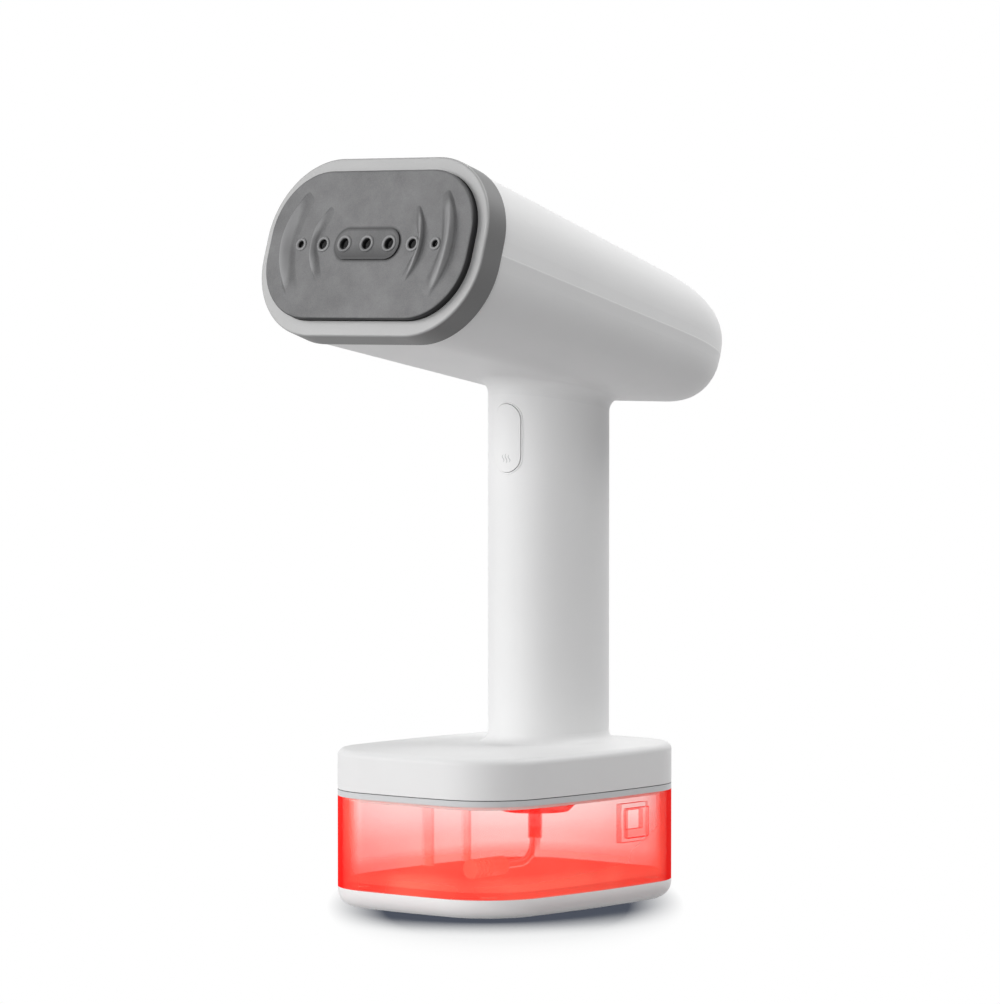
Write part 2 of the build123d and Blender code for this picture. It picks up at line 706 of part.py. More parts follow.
def make_handle():
    neck = neck_plane(NECK_DROP)
    body = prism(oval(), COLLAR_TOP, FACE_Z)
    body += prism(oval(SPIGOT_WALL + FIT_GAP), COVER_FLOOR_TOP, COLLAR_TOP)
    inside = prism(oval(HANDLE_WALL), COVER_FLOOR_TOP, FACE_Z)
    core = prism(oval(HANDLE_WALL / 2), COVER_FLOOR_TOP, FACE_Z)
    tube = body - inside
    for x, y in handle_boss_spots():
        tube += rod(x, y, HANDLE_BOSS_D, COVER_FLOOR_TOP, BOSS_TOP) & prism(
            oval(SPIGOT_WALL + FIT_GAP), COVER_FLOOR_TOP, BOSS_TOP
        )
    edge = bracket_screw_x() - SCREW_D
    low, high = bracket_z() - BRACKET_H / 2, bracket_z() + BRACKET_H / 2
    for s in (-1, 1):
        near, far = sorted((s * edge, s * HANDLE_A))
        tube += block(near, far, BRACKET_BACK, BRACKET_BACK + RAIL_T, low, high) & core
        x, half = s * BOARD_RIB_X, BOARD_RIB_W / 2
        tube += block(x - half, x + half, BOARD_BACK, HANDLE_BACK, BOARD_LOW, BOARD_HIGH) & core
    tube -= extrude(trigger_face(TRIGGER_GAP), amount=HANDLE_Y)
    tube -= rod_y(0, POWER_Z, POWER_D + 2 * MOVE_GAP, HANDLE_Y, HANDLE_BACK + TINY)
    tube -= rod_y(0, LENS_Z, LENS_D + 2 * RUN_GAP, HANDLE_Y, HANDLE_BACK + TINY)
    tube -= rod_y(0, GLAND_Z, GLAND_D + 2 * RUN_GAP, HANDLE_Y, HANDLE_BACK + TINY)
    tip = COVER_LOW + SCREW_HEAD_H + floor_screw_length() + TINY
    for x, y in handle_boss_spots():
        tube -= rod(x, y, SCREW_D + 2 * RUN_GAP, COVER_FLOOR_TOP, tip)
        tube -= rod(x, y, SCREW_D + 2 * RUN_GAP, BOSS_TOP - PLATE_SCREW_GRIP - TINY, BOSS_TOP)
    for x, z in bracket_screw_spots():
        tube -= rod_y(x, z, SCREW_D + 2 * RUN_GAP, BRACKET_BACK, BRACKET_BACK + RAIL_T)
    for x, z in board_screw_spots():
        tube -= rod_y(x, z, SCREW_D + 2 * RUN_GAP, BOARD_BACK, BOARD_BACK + BOARD_SCREW_GRIP)
    return tube & below(neck)


# Trigger, switch and bracket.


def make_trigger():
    cap = extrude(trigger_face(0), amount=TRIGGER_BACK)
    cap &= prism(oval(-TRIGGER_PROUD), TRIGGER_Z - TRIGGER_H, TRIGGER_Z + TRIGGER_H)
    flange = extrude(trigger_face(TRIGGER_FLANGE), amount=TRIGGER_BACK)
    flange &= prism(oval(HANDLE_WALL + MOVE_GAP), TRIGGER_Z - TRIGGER_H, TRIGGER_Z + TRIGGER_H)
    return cap + flange


def spring_z():
    return TRIGGER_Z + SPRING_RISE


def make_trigger_spring():
    place = Plane(origin=(0, TRIGGER_BACK, spring_z()), x_dir=(1, 0, 0), z_dir=(0, 1, 0))
    return coil(place, SPRING_R, SPRING_WIRE, BRACKET_FRONT - TRIGGER_BACK, SPRING_TURNS)


def switch_z():
    return TRIGGER_Z - SWITCH_DROP


def make_switch():
    front = BRACKET_FRONT - SWITCH_T
    low, high = switch_z() - SWITCH_H / 2, switch_z() + SWITCH_H / 2
    body = block(-SWITCH_W / 2, SWITCH_W / 2, front, BRACKET_FRONT, low, high)
    depth = front + PLUNGER_IN + TRIGGER_TRAVEL + MOVE_GAP
    return body - rod_y(0, switch_z(), PLUNGER_D + 2 * RUN_GAP, front, depth)


def make_switch_plunger():
    front = BRACKET_FRONT - SWITCH_T
    return rod_y(0, switch_z(), PLUNGER_D, TRIGGER_BACK + MOVE_GAP, front + PLUNGER_IN)


def bracket_half():
    offset = HANDLE_Y - BRACKET_FRONT
    a, b = HANDLE_A - HANDLE_WALL, HANDLE_B - HANDLE_WALL
    return a * sqrt(1 - (offset / b) ** 2) - FIT_GAP


def bracket_z():
    return TRIGGER_Z - BRACKET_DROP


def bracket_screw_x():
    return bracket_half() - SCREW_HEAD_D / 2 - 3 * MOVE_GAP


def bracket_screw_spots():
    x, z = bracket_screw_x(), BRACKET_H / 2 - SCREW_HEAD_D
    return [(s * x, bracket_z() + t * z) for s in (-1, 1) for t in (-1, 1)]


def make_bracket():
    half = bracket_half()
    low, high = bracket_z() - BRACKET_H / 2, bracket_z() + BRACKET_H / 2
    plate = block(-half, half, BRACKET_FRONT, BRACKET_BACK, low, high)
    for x, z in bracket_screw_spots():
        plate -= rod_y(x, z, SCREW_D + 2 * FIT_GAP, BRACKET_FRONT, BRACKET_BACK)
    return plate


def make_bracket_screws():
    length = BRACKET_T + RAIL_T - TINY
    return [
        screw(Plane(origin=(x, BRACKET_FRONT, z), x_dir=(1, 0, 0), z_dir=(0, -1, 0)), length)
        for x, z in bracket_screw_spots()
    ]


# Board, power button, lens, gland.


def board_screw_spots():
    zs = (BOARD_LOW + BOARD_SCREW_END, BOARD_HIGH - BOARD_SCREW_END)
    return [(s * BOARD_RIB_X, z) for s in (-1, 1) for z in zs]


def make_board():
    plate = block(-BOARD_W / 2, BOARD_W / 2, BOARD_FRONT, BOARD_BACK, BOARD_LOW, BOARD_HIGH)
    for x, z in board_screw_spots():
        plate -= rod_y(x, z, SCREW_D + 2 * FIT_GAP, BOARD_FRONT, BOARD_BACK)
    return plate


def make_board_screws():
    length = BOARD_T + BOARD_SCREW_GRIP - TINY
    return [
        screw(Plane(origin=(x, BOARD_FRONT, z), x_dir=(1, 0, 0), z_dir=(0, -1, 0)), length)
        for x, z in board_screw_spots()
    ]


def on_board(size, z):
    """A box of (width, depth, height) on the board's front face."""
    width, depth, height = size
    return block(-width / 2, width / 2, BOARD_FRONT - depth, BOARD_FRONT, z - height / 2, z + height / 2)


def make_relay():
    return fillet(on_board(RELAY, RELAY_Z).edges().filter_by(Axis.Y), RELAY_R)


def make_terminal_block():
    body = on_board(TERMINAL, TERMINAL_Z)
    width, depth, height = TERMINAL
    for i in (-1, 0, 1):
        body -= rod_y(i * width / 3, TERMINAL_Z, width / 6, BOARD_FRONT - depth, BOARD_FRONT - depth / 2)
    return body


def make_tact_switch():
    s = TACT_SIDE / 2
    return block(-s, s, BOARD_BACK, BOARD_BACK + TACT_T, POWER_Z - s, POWER_Z + s)


def power_limits():
    """The button's inner end and its flange's outer face; both clear what they face."""
    inner = BOARD_BACK + TACT_T + POWER_TRAVEL + MOVE_GAP
    half = POWER_D / 2 + POWER_FLANGE
    a, b = HANDLE_A - HANDLE_WALL, HANDLE_B - HANDLE_WALL
    outer = HANDLE_Y + b * sqrt(1 - (half / a) ** 2) - MOVE_GAP
    return inner, outer


def make_power_button():
    inner, outer = power_limits()
    cap = rod_y(0, POWER_Z, POWER_D, inner, HANDLE_BACK + POWER_PROUD)
    cap &= prism(oval(-POWER_PROUD), POWER_Z - POWER_D, POWER_Z + POWER_D)
    return cap + rod_y(0, POWER_Z, POWER_D + 2 * POWER_FLANGE, inner, outer)


def make_lens():
    return rod_y(0, LENS_Z, LENS_D, BOARD_BACK, HANDLE_BACK + TINY) & prism(
        oval(-TINY / 2), LENS_Z - LENS_D, LENS_Z + LENS_D
    )


def make_gland():
    inner = HANDLE_BACK - HANDLE_WALL - GLAND_IN
    body = rod_y(0, GLAND_Z, GLAND_D, inner, HANDLE_BACK + GLAND_OUT)
    head = rod_y(0, GLAND_Z, GLAND_HEAD_D, HANDLE_Y, HANDLE_BACK + GLAND_OUT)
    head -= prism(oval(-RUN_GAP), GLAND_Z - GLAND_HEAD_D, GLAND_Z + GLAND_HEAD_D)
    return body + head - rod_y(0, GLAND_Z, GLAND_BORE, inner, HANDLE_BACK + GLAND_OUT)


# Pump and hoses.


def make_pump_plate():
    plate = prism(oval(HANDLE_WALL + FIT_GAP), PLATE_LOW, PUMP_LOW)
    plate -= rod(0, PUMP_Y, PORT_D + 2 * FIT_GAP, PLATE_LOW, PUMP_LOW)
    half = HANDLE_BOSS_X / 2
    plate -= block(-half, half, HANDLE_Y + HANDLE_B / 2, HANDLE_BACK, PLATE_LOW, PUMP_LOW)
    for x, y in handle_boss_spots():
        plate -= rod(x, y, SCREW_D + 2 * FIT_GAP, PLATE_LOW, PUMP_LOW)
    return plate


def make_plate_screws():
    length = PUMP_PLATE_T + PLATE_SCREW_GRIP
    return [screw(Plane(origin=(x, y, PUMP_LOW)), length) for x, y in handle_boss_spots()]


def plunger_low():
    return COIL_LOW + PLUNGER_TRAVEL + MOVE_GAP


def make_pump_body():
    body = rod(0, PUMP_Y, PUMP_FLANGE_D, PUMP_LOW, COIL_LOW)
    body += rod(0, PUMP_Y, PUMP_TUBE_D, COIL_LOW, COIL_HIGH)
    body += rod(0, PUMP_Y, PUMP_FLANGE_D, COIL_HIGH, PUMP_HIGH)
    body += rod(0, PUMP_Y, PORT_D, PUMP_LOW - PUMP_PLATE_T - PORT_H, PUMP_LOW)
    body += rod(0, PUMP_Y, PORT_D, PUMP_HIGH, PORT_HIGH)
    body -= rod(0, PUMP_Y, PUMP_BORE, COIL_LOW, COIL_HIGH)
    return body - rod(0, PUMP_Y, PORT_BORE, PUMP_LOW - PUMP_PLATE_T - PORT_H, PORT_HIGH)


def make_coil():
    body = rod(0, PUMP_Y, COIL_D, COIL_LOW, COIL_HIGH)
    return body - rod(0, PUMP_Y, PUMP_TUBE_D + 2 * RUN_GAP, COIL_LOW, COIL_HIGH)


def make_pump_plunger():
    body = rod(0, PUMP_Y, PUMP_BORE - 2 * RUN_GAP, plunger_low(), plunger_low() + PUMP_PLUNGER_H)
    return body - rod(0, PUMP_Y, PORT_BORE, plunger_low(), plunger_low() + PUMP_PLUNGER_H)


def make_pump_spring():
    low = plunger_low() + PUMP_PLUNGER_H
    place = Plane(origin=(0, PUMP_Y, low))
    return coil(place, PUMP_BORE / 2 - SPRING_WIRE, SPRING_WIRE * 0.7, COIL_HIGH - low, 3)


def hose_along(points, bend, diameter, bore):
    path = FilletPolyline(*points, radius=bend)
    start = Plane(origin=path @ 0, z_dir=path % 0)
    return sweep(start * Circle(diameter / 2), path=path) - sweep(start * Circle(bore / 2), path=path)


def make_suction_hose():
    low, high = CUP_TOP, PLATE_LOW
    return rod(0, PUMP_Y, SUCTION_HOSE_D, low, high) - rod(0, PUMP_Y, PORT_D + 2 * RUN_GAP, low, high)


def make_steam_feed():
    """The feed hose from the pump's outlet, back past the switch bracket and up to the boiler's inlet."""
    c, s = cos(radians(HEAD_TILT)), sin(radians(HEAD_TILT))
    start = HEAD.from_local_coords((0, NOZZLE_V, -(BOILER_BACK + NOZZLE_FLANGE_T)))
    back_y = BRACKET_BACK + HOSE_BACK
    run = (back_y - start.Y) / c
    corner = (0, back_y, start.Z - run * s)
    offset = back_y - PUMP_Y
    low = PORT_HIGH + HOSE_BEND * 0.6
    points = [
        (0, start.Y, start.Z),
        corner,
        (0, back_y, low + offset * 1.2),
        (0, PUMP_Y, low),
        (0, PUMP_Y, PUMP_HIGH),
    ]
    return hose_along(points, HOSE_BEND, HOSE_D, PORT_D + 2 * RUN_GAP)


# Steam plate, bezel and boiler.


def hole_spots():
    return [(i * HOLE_PITCH, HOLE_D[abs(i)]) for i in range(-3, 4)]


def make_plate():
    body = head_prism(plate_outline(), 0, PLATE_T)
    front = body.faces().sort_by(Axis(HEAD.origin, HEAD.z_dir))[-1]
    body = fillet(front.edges(), PLATE_EDGE_R)
    body += head_prism(SlotOverall(PAD_RIDGE_W, PAD_RIDGE_H), -PAD_RIDGE_T, PLATE_T / 2)
    for u, d in hole_spots():
        body -= head_prism(Pos(u, 0) * Circle(d / 2), -PAD_RIDGE_T, PLATE_T)
    return body


def make_gasket():
    flange = PLATE_PROUD + BEZEL_BAND
    body = head_prism(plate_outline(FIT_GAP), PLATE_T, flange + GASKET_FLANGE)
    body += head_prism(bezel_outline(BEZEL_WALL + FIT_GAP), flange, flange + GASKET_FLANGE)
    return body - head_prism(plate_outline(GASKET_WALL), PLATE_T, flange + GASKET_FLANGE)


def make_bezel():
    body = head_prism(bezel_outline(), PLATE_PROUD, BARREL_START)
    front = body.faces().sort_by(Axis(HEAD.origin, HEAD.z_dir))[-1]
    body = fillet(front.edges(), BEZEL_EDGE)
    body -= head_prism(plate_outline(-RUN_GAP), PLATE_PROUD, BARREL_START)
    return body - head_prism(bezel_outline(BEZEL_WALL), PLATE_PROUD + BEZEL_BAND, BARREL_START)


def frame_front():
    return PLATE_PROUD + BEZEL_BAND + GASKET_FLANGE


def ear_spots():
    v = PLATE_H / 2 - BLOCK_INSET + EAR_OUT / 2
    return [(s * EAR_U, t * v) for s in (-1, 1) for t in (-1, 1)]


def make_frame():
    body = head_prism(bezel_outline(BEZEL_WALL + FIT_GAP), frame_front(), FRAME_BACK)
    body -= head_prism(plate_outline(BLOCK_INSET - FIT_GAP), frame_front(), FRAME_BACK)
    for u, v in ear_spots():
        body -= head_prism(Pos(u, v) * Circle(SCREW_D / 2 + RUN_GAP), frame_front() + TINY, FRAME_BACK)
    return body


def make_element(extra=0.0):
    """The heating tube: a loop round the chamber, with two tails; an extra makes it thicker."""
    u, v = PLATE_W / 2 - ELEMENT_INSET, PLATE_H / 2 - ELEMENT_INSET
    d, tail = ELEMENT_DEPTH, BOILER_BACK + ELEMENT_TAIL
    e, r = ELEMENT_END_U, ELEMENT_D
    corner = PLATE_R - ELEMENT_INSET
    loop = [(e + r, -v), (u, -v), (u, v), (-u, v), (-u, -v), (-e - r, -v)]
    ring = FilletPolyline(*[HEAD.from_local_coords((x, y, -d)) for x, y in loop], radius=corner)
    edges = list(ring.edges())
    k = r * (1 - sqrt(0.5))
    for s in (-1, 1):
        bend = [(s * (e + r), -v, -d), (s * (e + k), -v, -d - k), (s * e, -v, -d - r), (s * e, -v, -tail)]
        a, b, c, end = [HEAD.from_local_coords(p) for p in bend]
        edges += [ThreePointArc(a, b, c), Line(c, end)]
    path = Wire(edges)
    return sweep(Plane(origin=path @ 0, z_dir=path % 0) * Circle(ELEMENT_D / 2 + extra), path=path)


def lid_screw_spots():
    v = PLATE_H / 2 - ELEMENT_INSET
    return [(s * LID_SCREW_U, t * v) for s in (-1, 1) for t in (-1, 1)]


def element_ends(extra):
    v = PLATE_H / 2 - ELEMENT_INSET
    return [Pos(s * ELEMENT_END_U, -v) * Circle(ELEMENT_D / 2 + extra) for s in (-1, 1)]


def make_boiler():
    body = head_prism(plate_outline(BLOCK_INSET), PLATE_T, BLOCK_BACK)
    for u, v in ear_spots():
        ear = Pos(u, v * 0.9) * Rectangle(EAR_W, EAR_OUT + abs(v) * 0.2)
        body += head_prism(ear, FRAME_BACK, FRAME_BACK + EAR_T)
        body -= head_prism(Pos(u, v) * Circle(SCREW_D / 2 + FIT_GAP), FRAME_BACK, FRAME_BACK + EAR_T)
    body -= head_prism(plate_outline(CAVITY_INSET), PLATE_T + BLOCK_FACE, BLOCK_BACK)
    for u, d in hole_spots():
        body -= head_prism(Pos(u, 0) * Circle(d / 2), PLATE_T, PLATE_T + BLOCK_FACE)
    tip = BOILER_BACK - LID_SCREW_LEN - TINY
    for u, v in lid_screw_spots():
        body -= head_prism(Pos(u, v) * Circle(SCREW_D / 2 + RUN_GAP), tip, BLOCK_BACK)
    return body - make_element(RUN_GAP)


def make_boiler_seal():
    body = head_prism(plate_outline(BLOCK_INSET + RUN_GAP), BLOCK_BACK, SEAL_BACK)
    body -= head_prism(plate_outline(CAVITY_INSET), BLOCK_BACK, SEAL_BACK)
    for end in element_ends(RUN_GAP):
        body -= head_prism(end, BLOCK_BACK, SEAL_BACK)
    for u, v in lid_screw_spots():
        body -= head_prism(Pos(u, v) * Circle(SCREW_D / 2 + FIT_GAP), BLOCK_BACK, SEAL_BACK)
    return body


def make_boiler_lid():
    body = head_prism(plate_outline(BLOCK_INSET), SEAL_BACK, BOILER_BACK)
    for end in element_ends(RUN_GAP):
        body -= head_prism(end, SEAL_BACK, BOILER_BACK)
    for u, v in lid_screw_spots():
        body -= head_prism(Pos(u, v) * Circle(SCREW_D / 2 + FIT_GAP), SEAL_BACK, BOILER_BACK)
    return body - head_prism(Pos(0, NOZZLE_V) * Circle(NOZZLE_D / 2 + RUN_GAP), SEAL_BACK, BOILER_BACK)


def head_seat(u, v, depth):
    """A plane in the head's frame at one depth that looks backwards."""
    return Plane(origin=HEAD.from_local_coords((u, v, -depth)), x_dir=(1, 0, 0), z_dir=HEAD.z_dir * -1)


def make_lid_screws():
    return [screw(head_seat(u, v, BOILER_BACK), LID_SCREW_LEN) for u, v in lid_screw_spots()]


def make_frame_screws():
    length = EAR_T + FRAME_T - 2 * TINY
    return [screw(head_seat(u, v, FRAME_BACK + EAR_T), length) for u, v in ear_spots()]


def make_nozzle():
    back = BOILER_BACK + NOZZLE_FLANGE_T
    end = back + NOZZLE_LEN
    stem = head_prism(Pos(0, NOZZLE_V) * Circle(NOZZLE_D / 2), SEAL_BACK, end)
    flange = head_prism(Pos(0, NOZZLE_V) * Circle(NOZZLE_FLANGE_D / 2), BOILER_BACK, back)
    return stem + flange - head_prism(Pos(0, NOZZLE_V) * Circle(NOZZLE_BORE / 2), SEAL_BACK, end)


def make_thermostat():
    back = BOILER_BACK + THERMOSTAT_T
    body = head_prism(Pos(THERMOSTAT_U, 0) * Circle(THERMOSTAT_D / 2), BOILER_BACK, back)
    body += head_prism(Pos(THERMOSTAT_U, 0) * Circle(THERMOSTAT_CAP_D / 2), back, back + THERMOSTAT_CAP_T)
    for s in (-1, 1):
        blade = Pos(THERMOSTAT_U + s * THERMOSTAT_CAP_D / 4, 0) * Rectangle(BLADE_T, BLADE_W)
        body += head_prism(blade, back, back + BLADE_L)
    return body


def make_fuse():
    middle = HEAD.from_local_coords((FUSE_U, 0, -(BOILER_BACK + FUSE_D / 2)))
    place = Plane(origin=middle, x_dir=(1, 0, 0), z_dir=HEAD.y_dir)
    lead = FUSE_L + 2 * FUSE_LEAD_L
    return place * (Cylinder(FUSE_D / 2, FUSE_L) + Cylinder(FUSE_LEAD_D / 2, lead))


def main():
    nodes = {
        "non_slip_pad": make_pad(),
        "tank_tray": make_tray(),
        "tray_screws": make_tray_screws(),
        "tank_shell": make_tank_shell(),
        "filler_flap": make_flap(),
        "tank_lid": make_tank_lid(),
        "lid_seal": make_lid_seal(),
        "pickup_fitting": make_pickup(),
        "dip_hose": make_dip_hose(),
        "sinking_filter": make_weight(),
        "base_cover": make_cover(),
        "cover_floor": make_cover_floor(),
        "coupling_ring": make_coupling_ring(),
        "floor_screws": make_floor_screws(),
        "handle_shell": make_handle(),
        "head_upper_shell": make_upper_shell(),
        "head_lower_shell": make_lower_shell(),
        "steam_trigger": make_trigger(),
        "trigger_spring": make_trigger_spring(),
        "steam_switch": make_switch(),
        "switch_plunger": make_switch_plunger(),
        "switch_bracket": make_bracket(),
        "bracket_screws": make_bracket_screws(),
        "control_board": make_board(),
        "board_screws": make_board_screws(),
        "relay": make_relay(),
        "terminal_block": make_terminal_block(),
        "tact_switch": make_tact_switch(),
        "power_button": make_power_button(),
        "indicator_lens": make_lens(),
        "cord_gland": make_gland(),
        "pump_plate": make_pump_plate(),
        "plate_screws": make_plate_screws(),
        "pump_body": make_pump_body(),
        "pump_coil": make_coil(),
        "pump_plunger": make_pump_plunger(),
        "pump_spring": make_pump_spring(),
        "suction_hose": make_suction_hose(),
        "feed_hose": make_steam_feed(),
        "steam_plate": make_plate(),
        "plate_gasket": make_gasket(),
        "bezel_ring": make_bezel(),
        "clamp_frame": make_frame(),
        "frame_screws": make_frame_screws(),
        "boiler_block": make_boiler(),
        "heating_element": make_element(),
        "boiler_seal": make_boiler_seal(),
        "boiler_lid": make_boiler_lid(),
        "lid_screws": make_lid_screws(),
        "inlet_nozzle": make_nozzle(),
        "thermostat": make_thermostat(),
        "thermal_fuse": make_fuse(),
    }
    os.makedirs("parts", exist_ok=True)
    for name, shape in nodes.items():
        pieces = shape if isinstance(shape, list) else [shape]
        solids = [solid for piece in pieces for solid in piece.solids()]
        export_step(Compound(children=solids), f"parts/{name}.step")


main()
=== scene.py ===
import json
import math

import bmesh
import bpy
import numpy as np
from mathutils import Matrix, Vector


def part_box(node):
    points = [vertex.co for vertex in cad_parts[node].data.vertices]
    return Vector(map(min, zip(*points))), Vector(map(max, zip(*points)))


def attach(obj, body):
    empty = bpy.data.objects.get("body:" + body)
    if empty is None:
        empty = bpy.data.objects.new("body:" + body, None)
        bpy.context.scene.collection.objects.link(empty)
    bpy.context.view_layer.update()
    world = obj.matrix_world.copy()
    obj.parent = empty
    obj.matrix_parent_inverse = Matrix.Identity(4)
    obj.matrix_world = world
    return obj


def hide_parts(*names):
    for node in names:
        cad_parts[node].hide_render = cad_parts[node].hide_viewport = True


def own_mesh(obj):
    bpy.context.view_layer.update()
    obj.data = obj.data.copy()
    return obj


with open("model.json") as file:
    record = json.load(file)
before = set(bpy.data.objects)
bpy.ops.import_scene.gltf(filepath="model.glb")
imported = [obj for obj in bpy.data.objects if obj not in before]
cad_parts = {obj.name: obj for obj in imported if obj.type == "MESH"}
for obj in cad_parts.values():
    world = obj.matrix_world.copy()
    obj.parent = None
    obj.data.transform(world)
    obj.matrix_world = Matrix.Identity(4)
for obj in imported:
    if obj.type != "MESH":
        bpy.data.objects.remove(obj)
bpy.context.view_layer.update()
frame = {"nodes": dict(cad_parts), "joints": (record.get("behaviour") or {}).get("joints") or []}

# The pad under the base, the gasket round the steam plate, the coupling's ring and the gland in the handle.
# Moulded from black silicone rubber: the pad is glued into the tray, the rings are pressed into their
# grooves, and the gland is pushed into its hole.


class Tone:
    """One socket of a finish's node tree; arithmetic on it adds Math nodes to that tree."""

    def __init__(self, tree, socket=None):
        self.tree = tree
        self.socket = socket

    def add(self, kind, settings=None, inputs=None, out=0):
        """Adds one node: its settings first, then the values or links of its sockets."""
        node = self.tree.nodes.new(kind)
        for name, value in (settings or {}).items():
            setattr(node, name, value)
        for key, value in (inputs or {}).items():
            if isinstance(value, Tone):
                self.tree.links.new(value.socket, node.inputs[key])
            else:
                node.inputs[key].default_value = value
        return Tone(self.tree, node.outputs[out] if node.outputs else None)

    def maths(self, operation, a, b=0.0, clamp=False):
        """One Math node on two values, each a number or a socket."""
        return self.add("ShaderNodeMath", {"operation": operation, "use_clamp": clamp}, {0: a, 1: b})

    def __add__(self, other):
        return self.maths("ADD", self, other)

    def __sub__(self, other):
        return self.maths("SUBTRACT", self, other)

    def __mul__(self, other):
        return self.maths("MULTIPLY", self, other)

    def __truediv__(self, other):
        return self.maths("DIVIDE", self, other)

    def __radd__(self, other):
        return self.maths("ADD", other, self)

    def __rsub__(self, other):
        return self.maths("SUBTRACT", other, self)

    def __rmul__(self, other):
        return self.maths("MULTIPLY", other, self)

    def __rtruediv__(self, other):
        return self.maths("DIVIDE", other, self)

    def __abs__(self):
        return self.maths("ABSOLUTE", self)

    def bounded(self):
        """The value kept between 0 and 1."""
        return self.maths("ADD", self, 0.0, clamp=True)

    def at_least(self, least):
        """The value, or the least where it is lower."""
        return self.maths("MAXIMUM", self, least)

    def root(self):
        """The square root of the value."""
        return self.maths("SQRT", self)

    def sine(self):
        """The sine of the value, in radians."""
        return self.maths("SINE", self)

    def speckle(self, scale, detail=3.0, rough=0.5):
        """Noise at the point that this socket gives, scale cells per metre."""
        inputs = {"Vector": self, "Scale": scale, "Detail": detail, "Roughness": rough}
        return self.add("ShaderNodeTexNoise", {}, inputs)

    def blend(self, low, high):
        """A colour between two, by this value; each is three numbers or a colour made before."""
        ends = [c if isinstance(c, Tone) else (*c, 1.0) for c in (low, high)]
        inputs = {"Factor": self, 6: ends[0], 7: ends[1]}
        return self.add("ShaderNodeMix", {"data_type": "RGBA"}, inputs, out=2)

    def relief(self, strength, distance):
        """A bumped normal from this height."""
        return self.add("ShaderNodeBump", {}, {"Strength": strength, "Distance": distance, "Height": self})


def new_finish(name):
    """Starts a finish; gives its material and the piece's own coordinates in metres."""
    material = bpy.data.materials.new(name)
    material.use_nodes = True
    material.node_tree.nodes.clear()
    coords = Tone(material.node_tree).add("ShaderNodeTexCoord", out=3)
    return material, coords


def close_finish(material, coords, sockets):
    """Ends a finish with one surface shader that takes the given sockets."""
    shader = coords.add("ShaderNodeBsdfPrincipled", {}, sockets)
    coords.add("ShaderNodeOutputMaterial", {}, {"Surface": shader})
    return material


def dress(finish, *names):
    """Gives CAD nodes a finish in their own material slots."""
    for name in names:
        for place in frame["nodes"][name].material_slots:
            place.material = finish


rubber, at = new_finish("black_silicone_rubber")
dust = at.speckle(900.0)
grit = at.speckle(6000.0, 2.0)
close_finish(rubber, at, {
    "Base Color": dust.blend((0.012, 0.012, 0.013), (0.03, 0.03, 0.031)),
    "Roughness": 0.55 + dust * 0.25,
    "Specular IOR Level": 0.2,
    "Normal": grit.relief(0.25, 0.0001),
})
dress(rubber, "non_slip_pad", "plate_gasket", "coupling_ring", "cord_gland")

# The white mouldings: tray, cover with its floor, handle, trigger, power button, bracket and pump body.
# Injection moulded ABS with a fine satin texture; the cover is screwed to its floor from below, and the
# handle stands in the cover's collar.
SKIN_HEIGHT = 0.12
LEDGE_HEIGHT = 2.0


def white_moulding(name, low, high, ledge=None):
    """Satin white plastic: faint mottling between two greys, fine texture in the gloss and the relief."""
    material, at = new_finish(name)
    cloud = at.speckle(35.0, 4.0)
    skin = at.speckle(3500.0, 2.0)
    height = skin * SKIN_HEIGHT
    if ledge is not None:
        height = height + ledge(at) * LEDGE_HEIGHT
    return close_finish(material, at, {
        "Base Color": cloud.blend((low, low, low), (high, high, high)),
        "Roughness": 0.42 + cloud * 0.06 + skin * 0.06,
        "Specular IOR Level": 0.3,
        "Normal": height.relief(0.25, 0.0002),
    })


white = white_moulding("satin_white_plastic", 0.80, 0.84)
# The tray is given a whiter white than the other mouldings: painted light.
dress(white_moulding("satin_white_tray_painted_light", 0.90, 0.93), "tank_tray")
dress(
    white, "base_cover", "cover_floor", "handle_shell", "steam_trigger", "power_button", "switch_bracket",
    "pump_body",
)

# The screws, the pump's plunger, the heating tube and the thermal fuse: zinc-plated steel, rolled or drawn.
# The screws hold the tray, the cover's floor, the pump, the board, the bracket and the boiler; all but the
# tray's are inside.
steel, at = new_finish("zinc_plated_steel")
cloud = at.speckle(700.0, 4.0)
close_finish(steel, at, {
    "Base Color": cloud.blend((0.45, 0.45, 0.46), (0.62, 0.62, 0.62)),
    "Metallic": 1.0,
    "Roughness": 0.28 + cloud * 0.2,
})
dress(
    steel, "tray_screws", "floor_screws", "plate_screws", "board_screws", "bracket_screws", "frame_screws",
    "lid_screws", "pump_plunger", "heating_element", "thermal_fuse",
)

# The water tank, its filler flap, the pickup fitting with its hose and the sinking filter: clear red plastic
# whose red body glows faintly, a painted glow.
# Moulded SAN; the tank is closed by its lid, and the pickup hangs from the lid and shows through the wall.
CLEAR_ABOVE = 0.0347
DENSE_BELOW = 0.0203
# The band at the tank's floor brings in more of the glowing body: a painted glow.
FLOOR_GLOW_BAND = 0.0140
FLOOR_GLOW_FADE = 0.004
DEPTH_SHARE = 0.20
FLOOR_GLOW_SHARE = 0.24
EDGE_FROM = 0.28
EDGE_RISE = 2.7
EDGE_SHARE = 0.95
DISC_UNDERSIDE = 0.0320
DISC_FADE = 0.0006


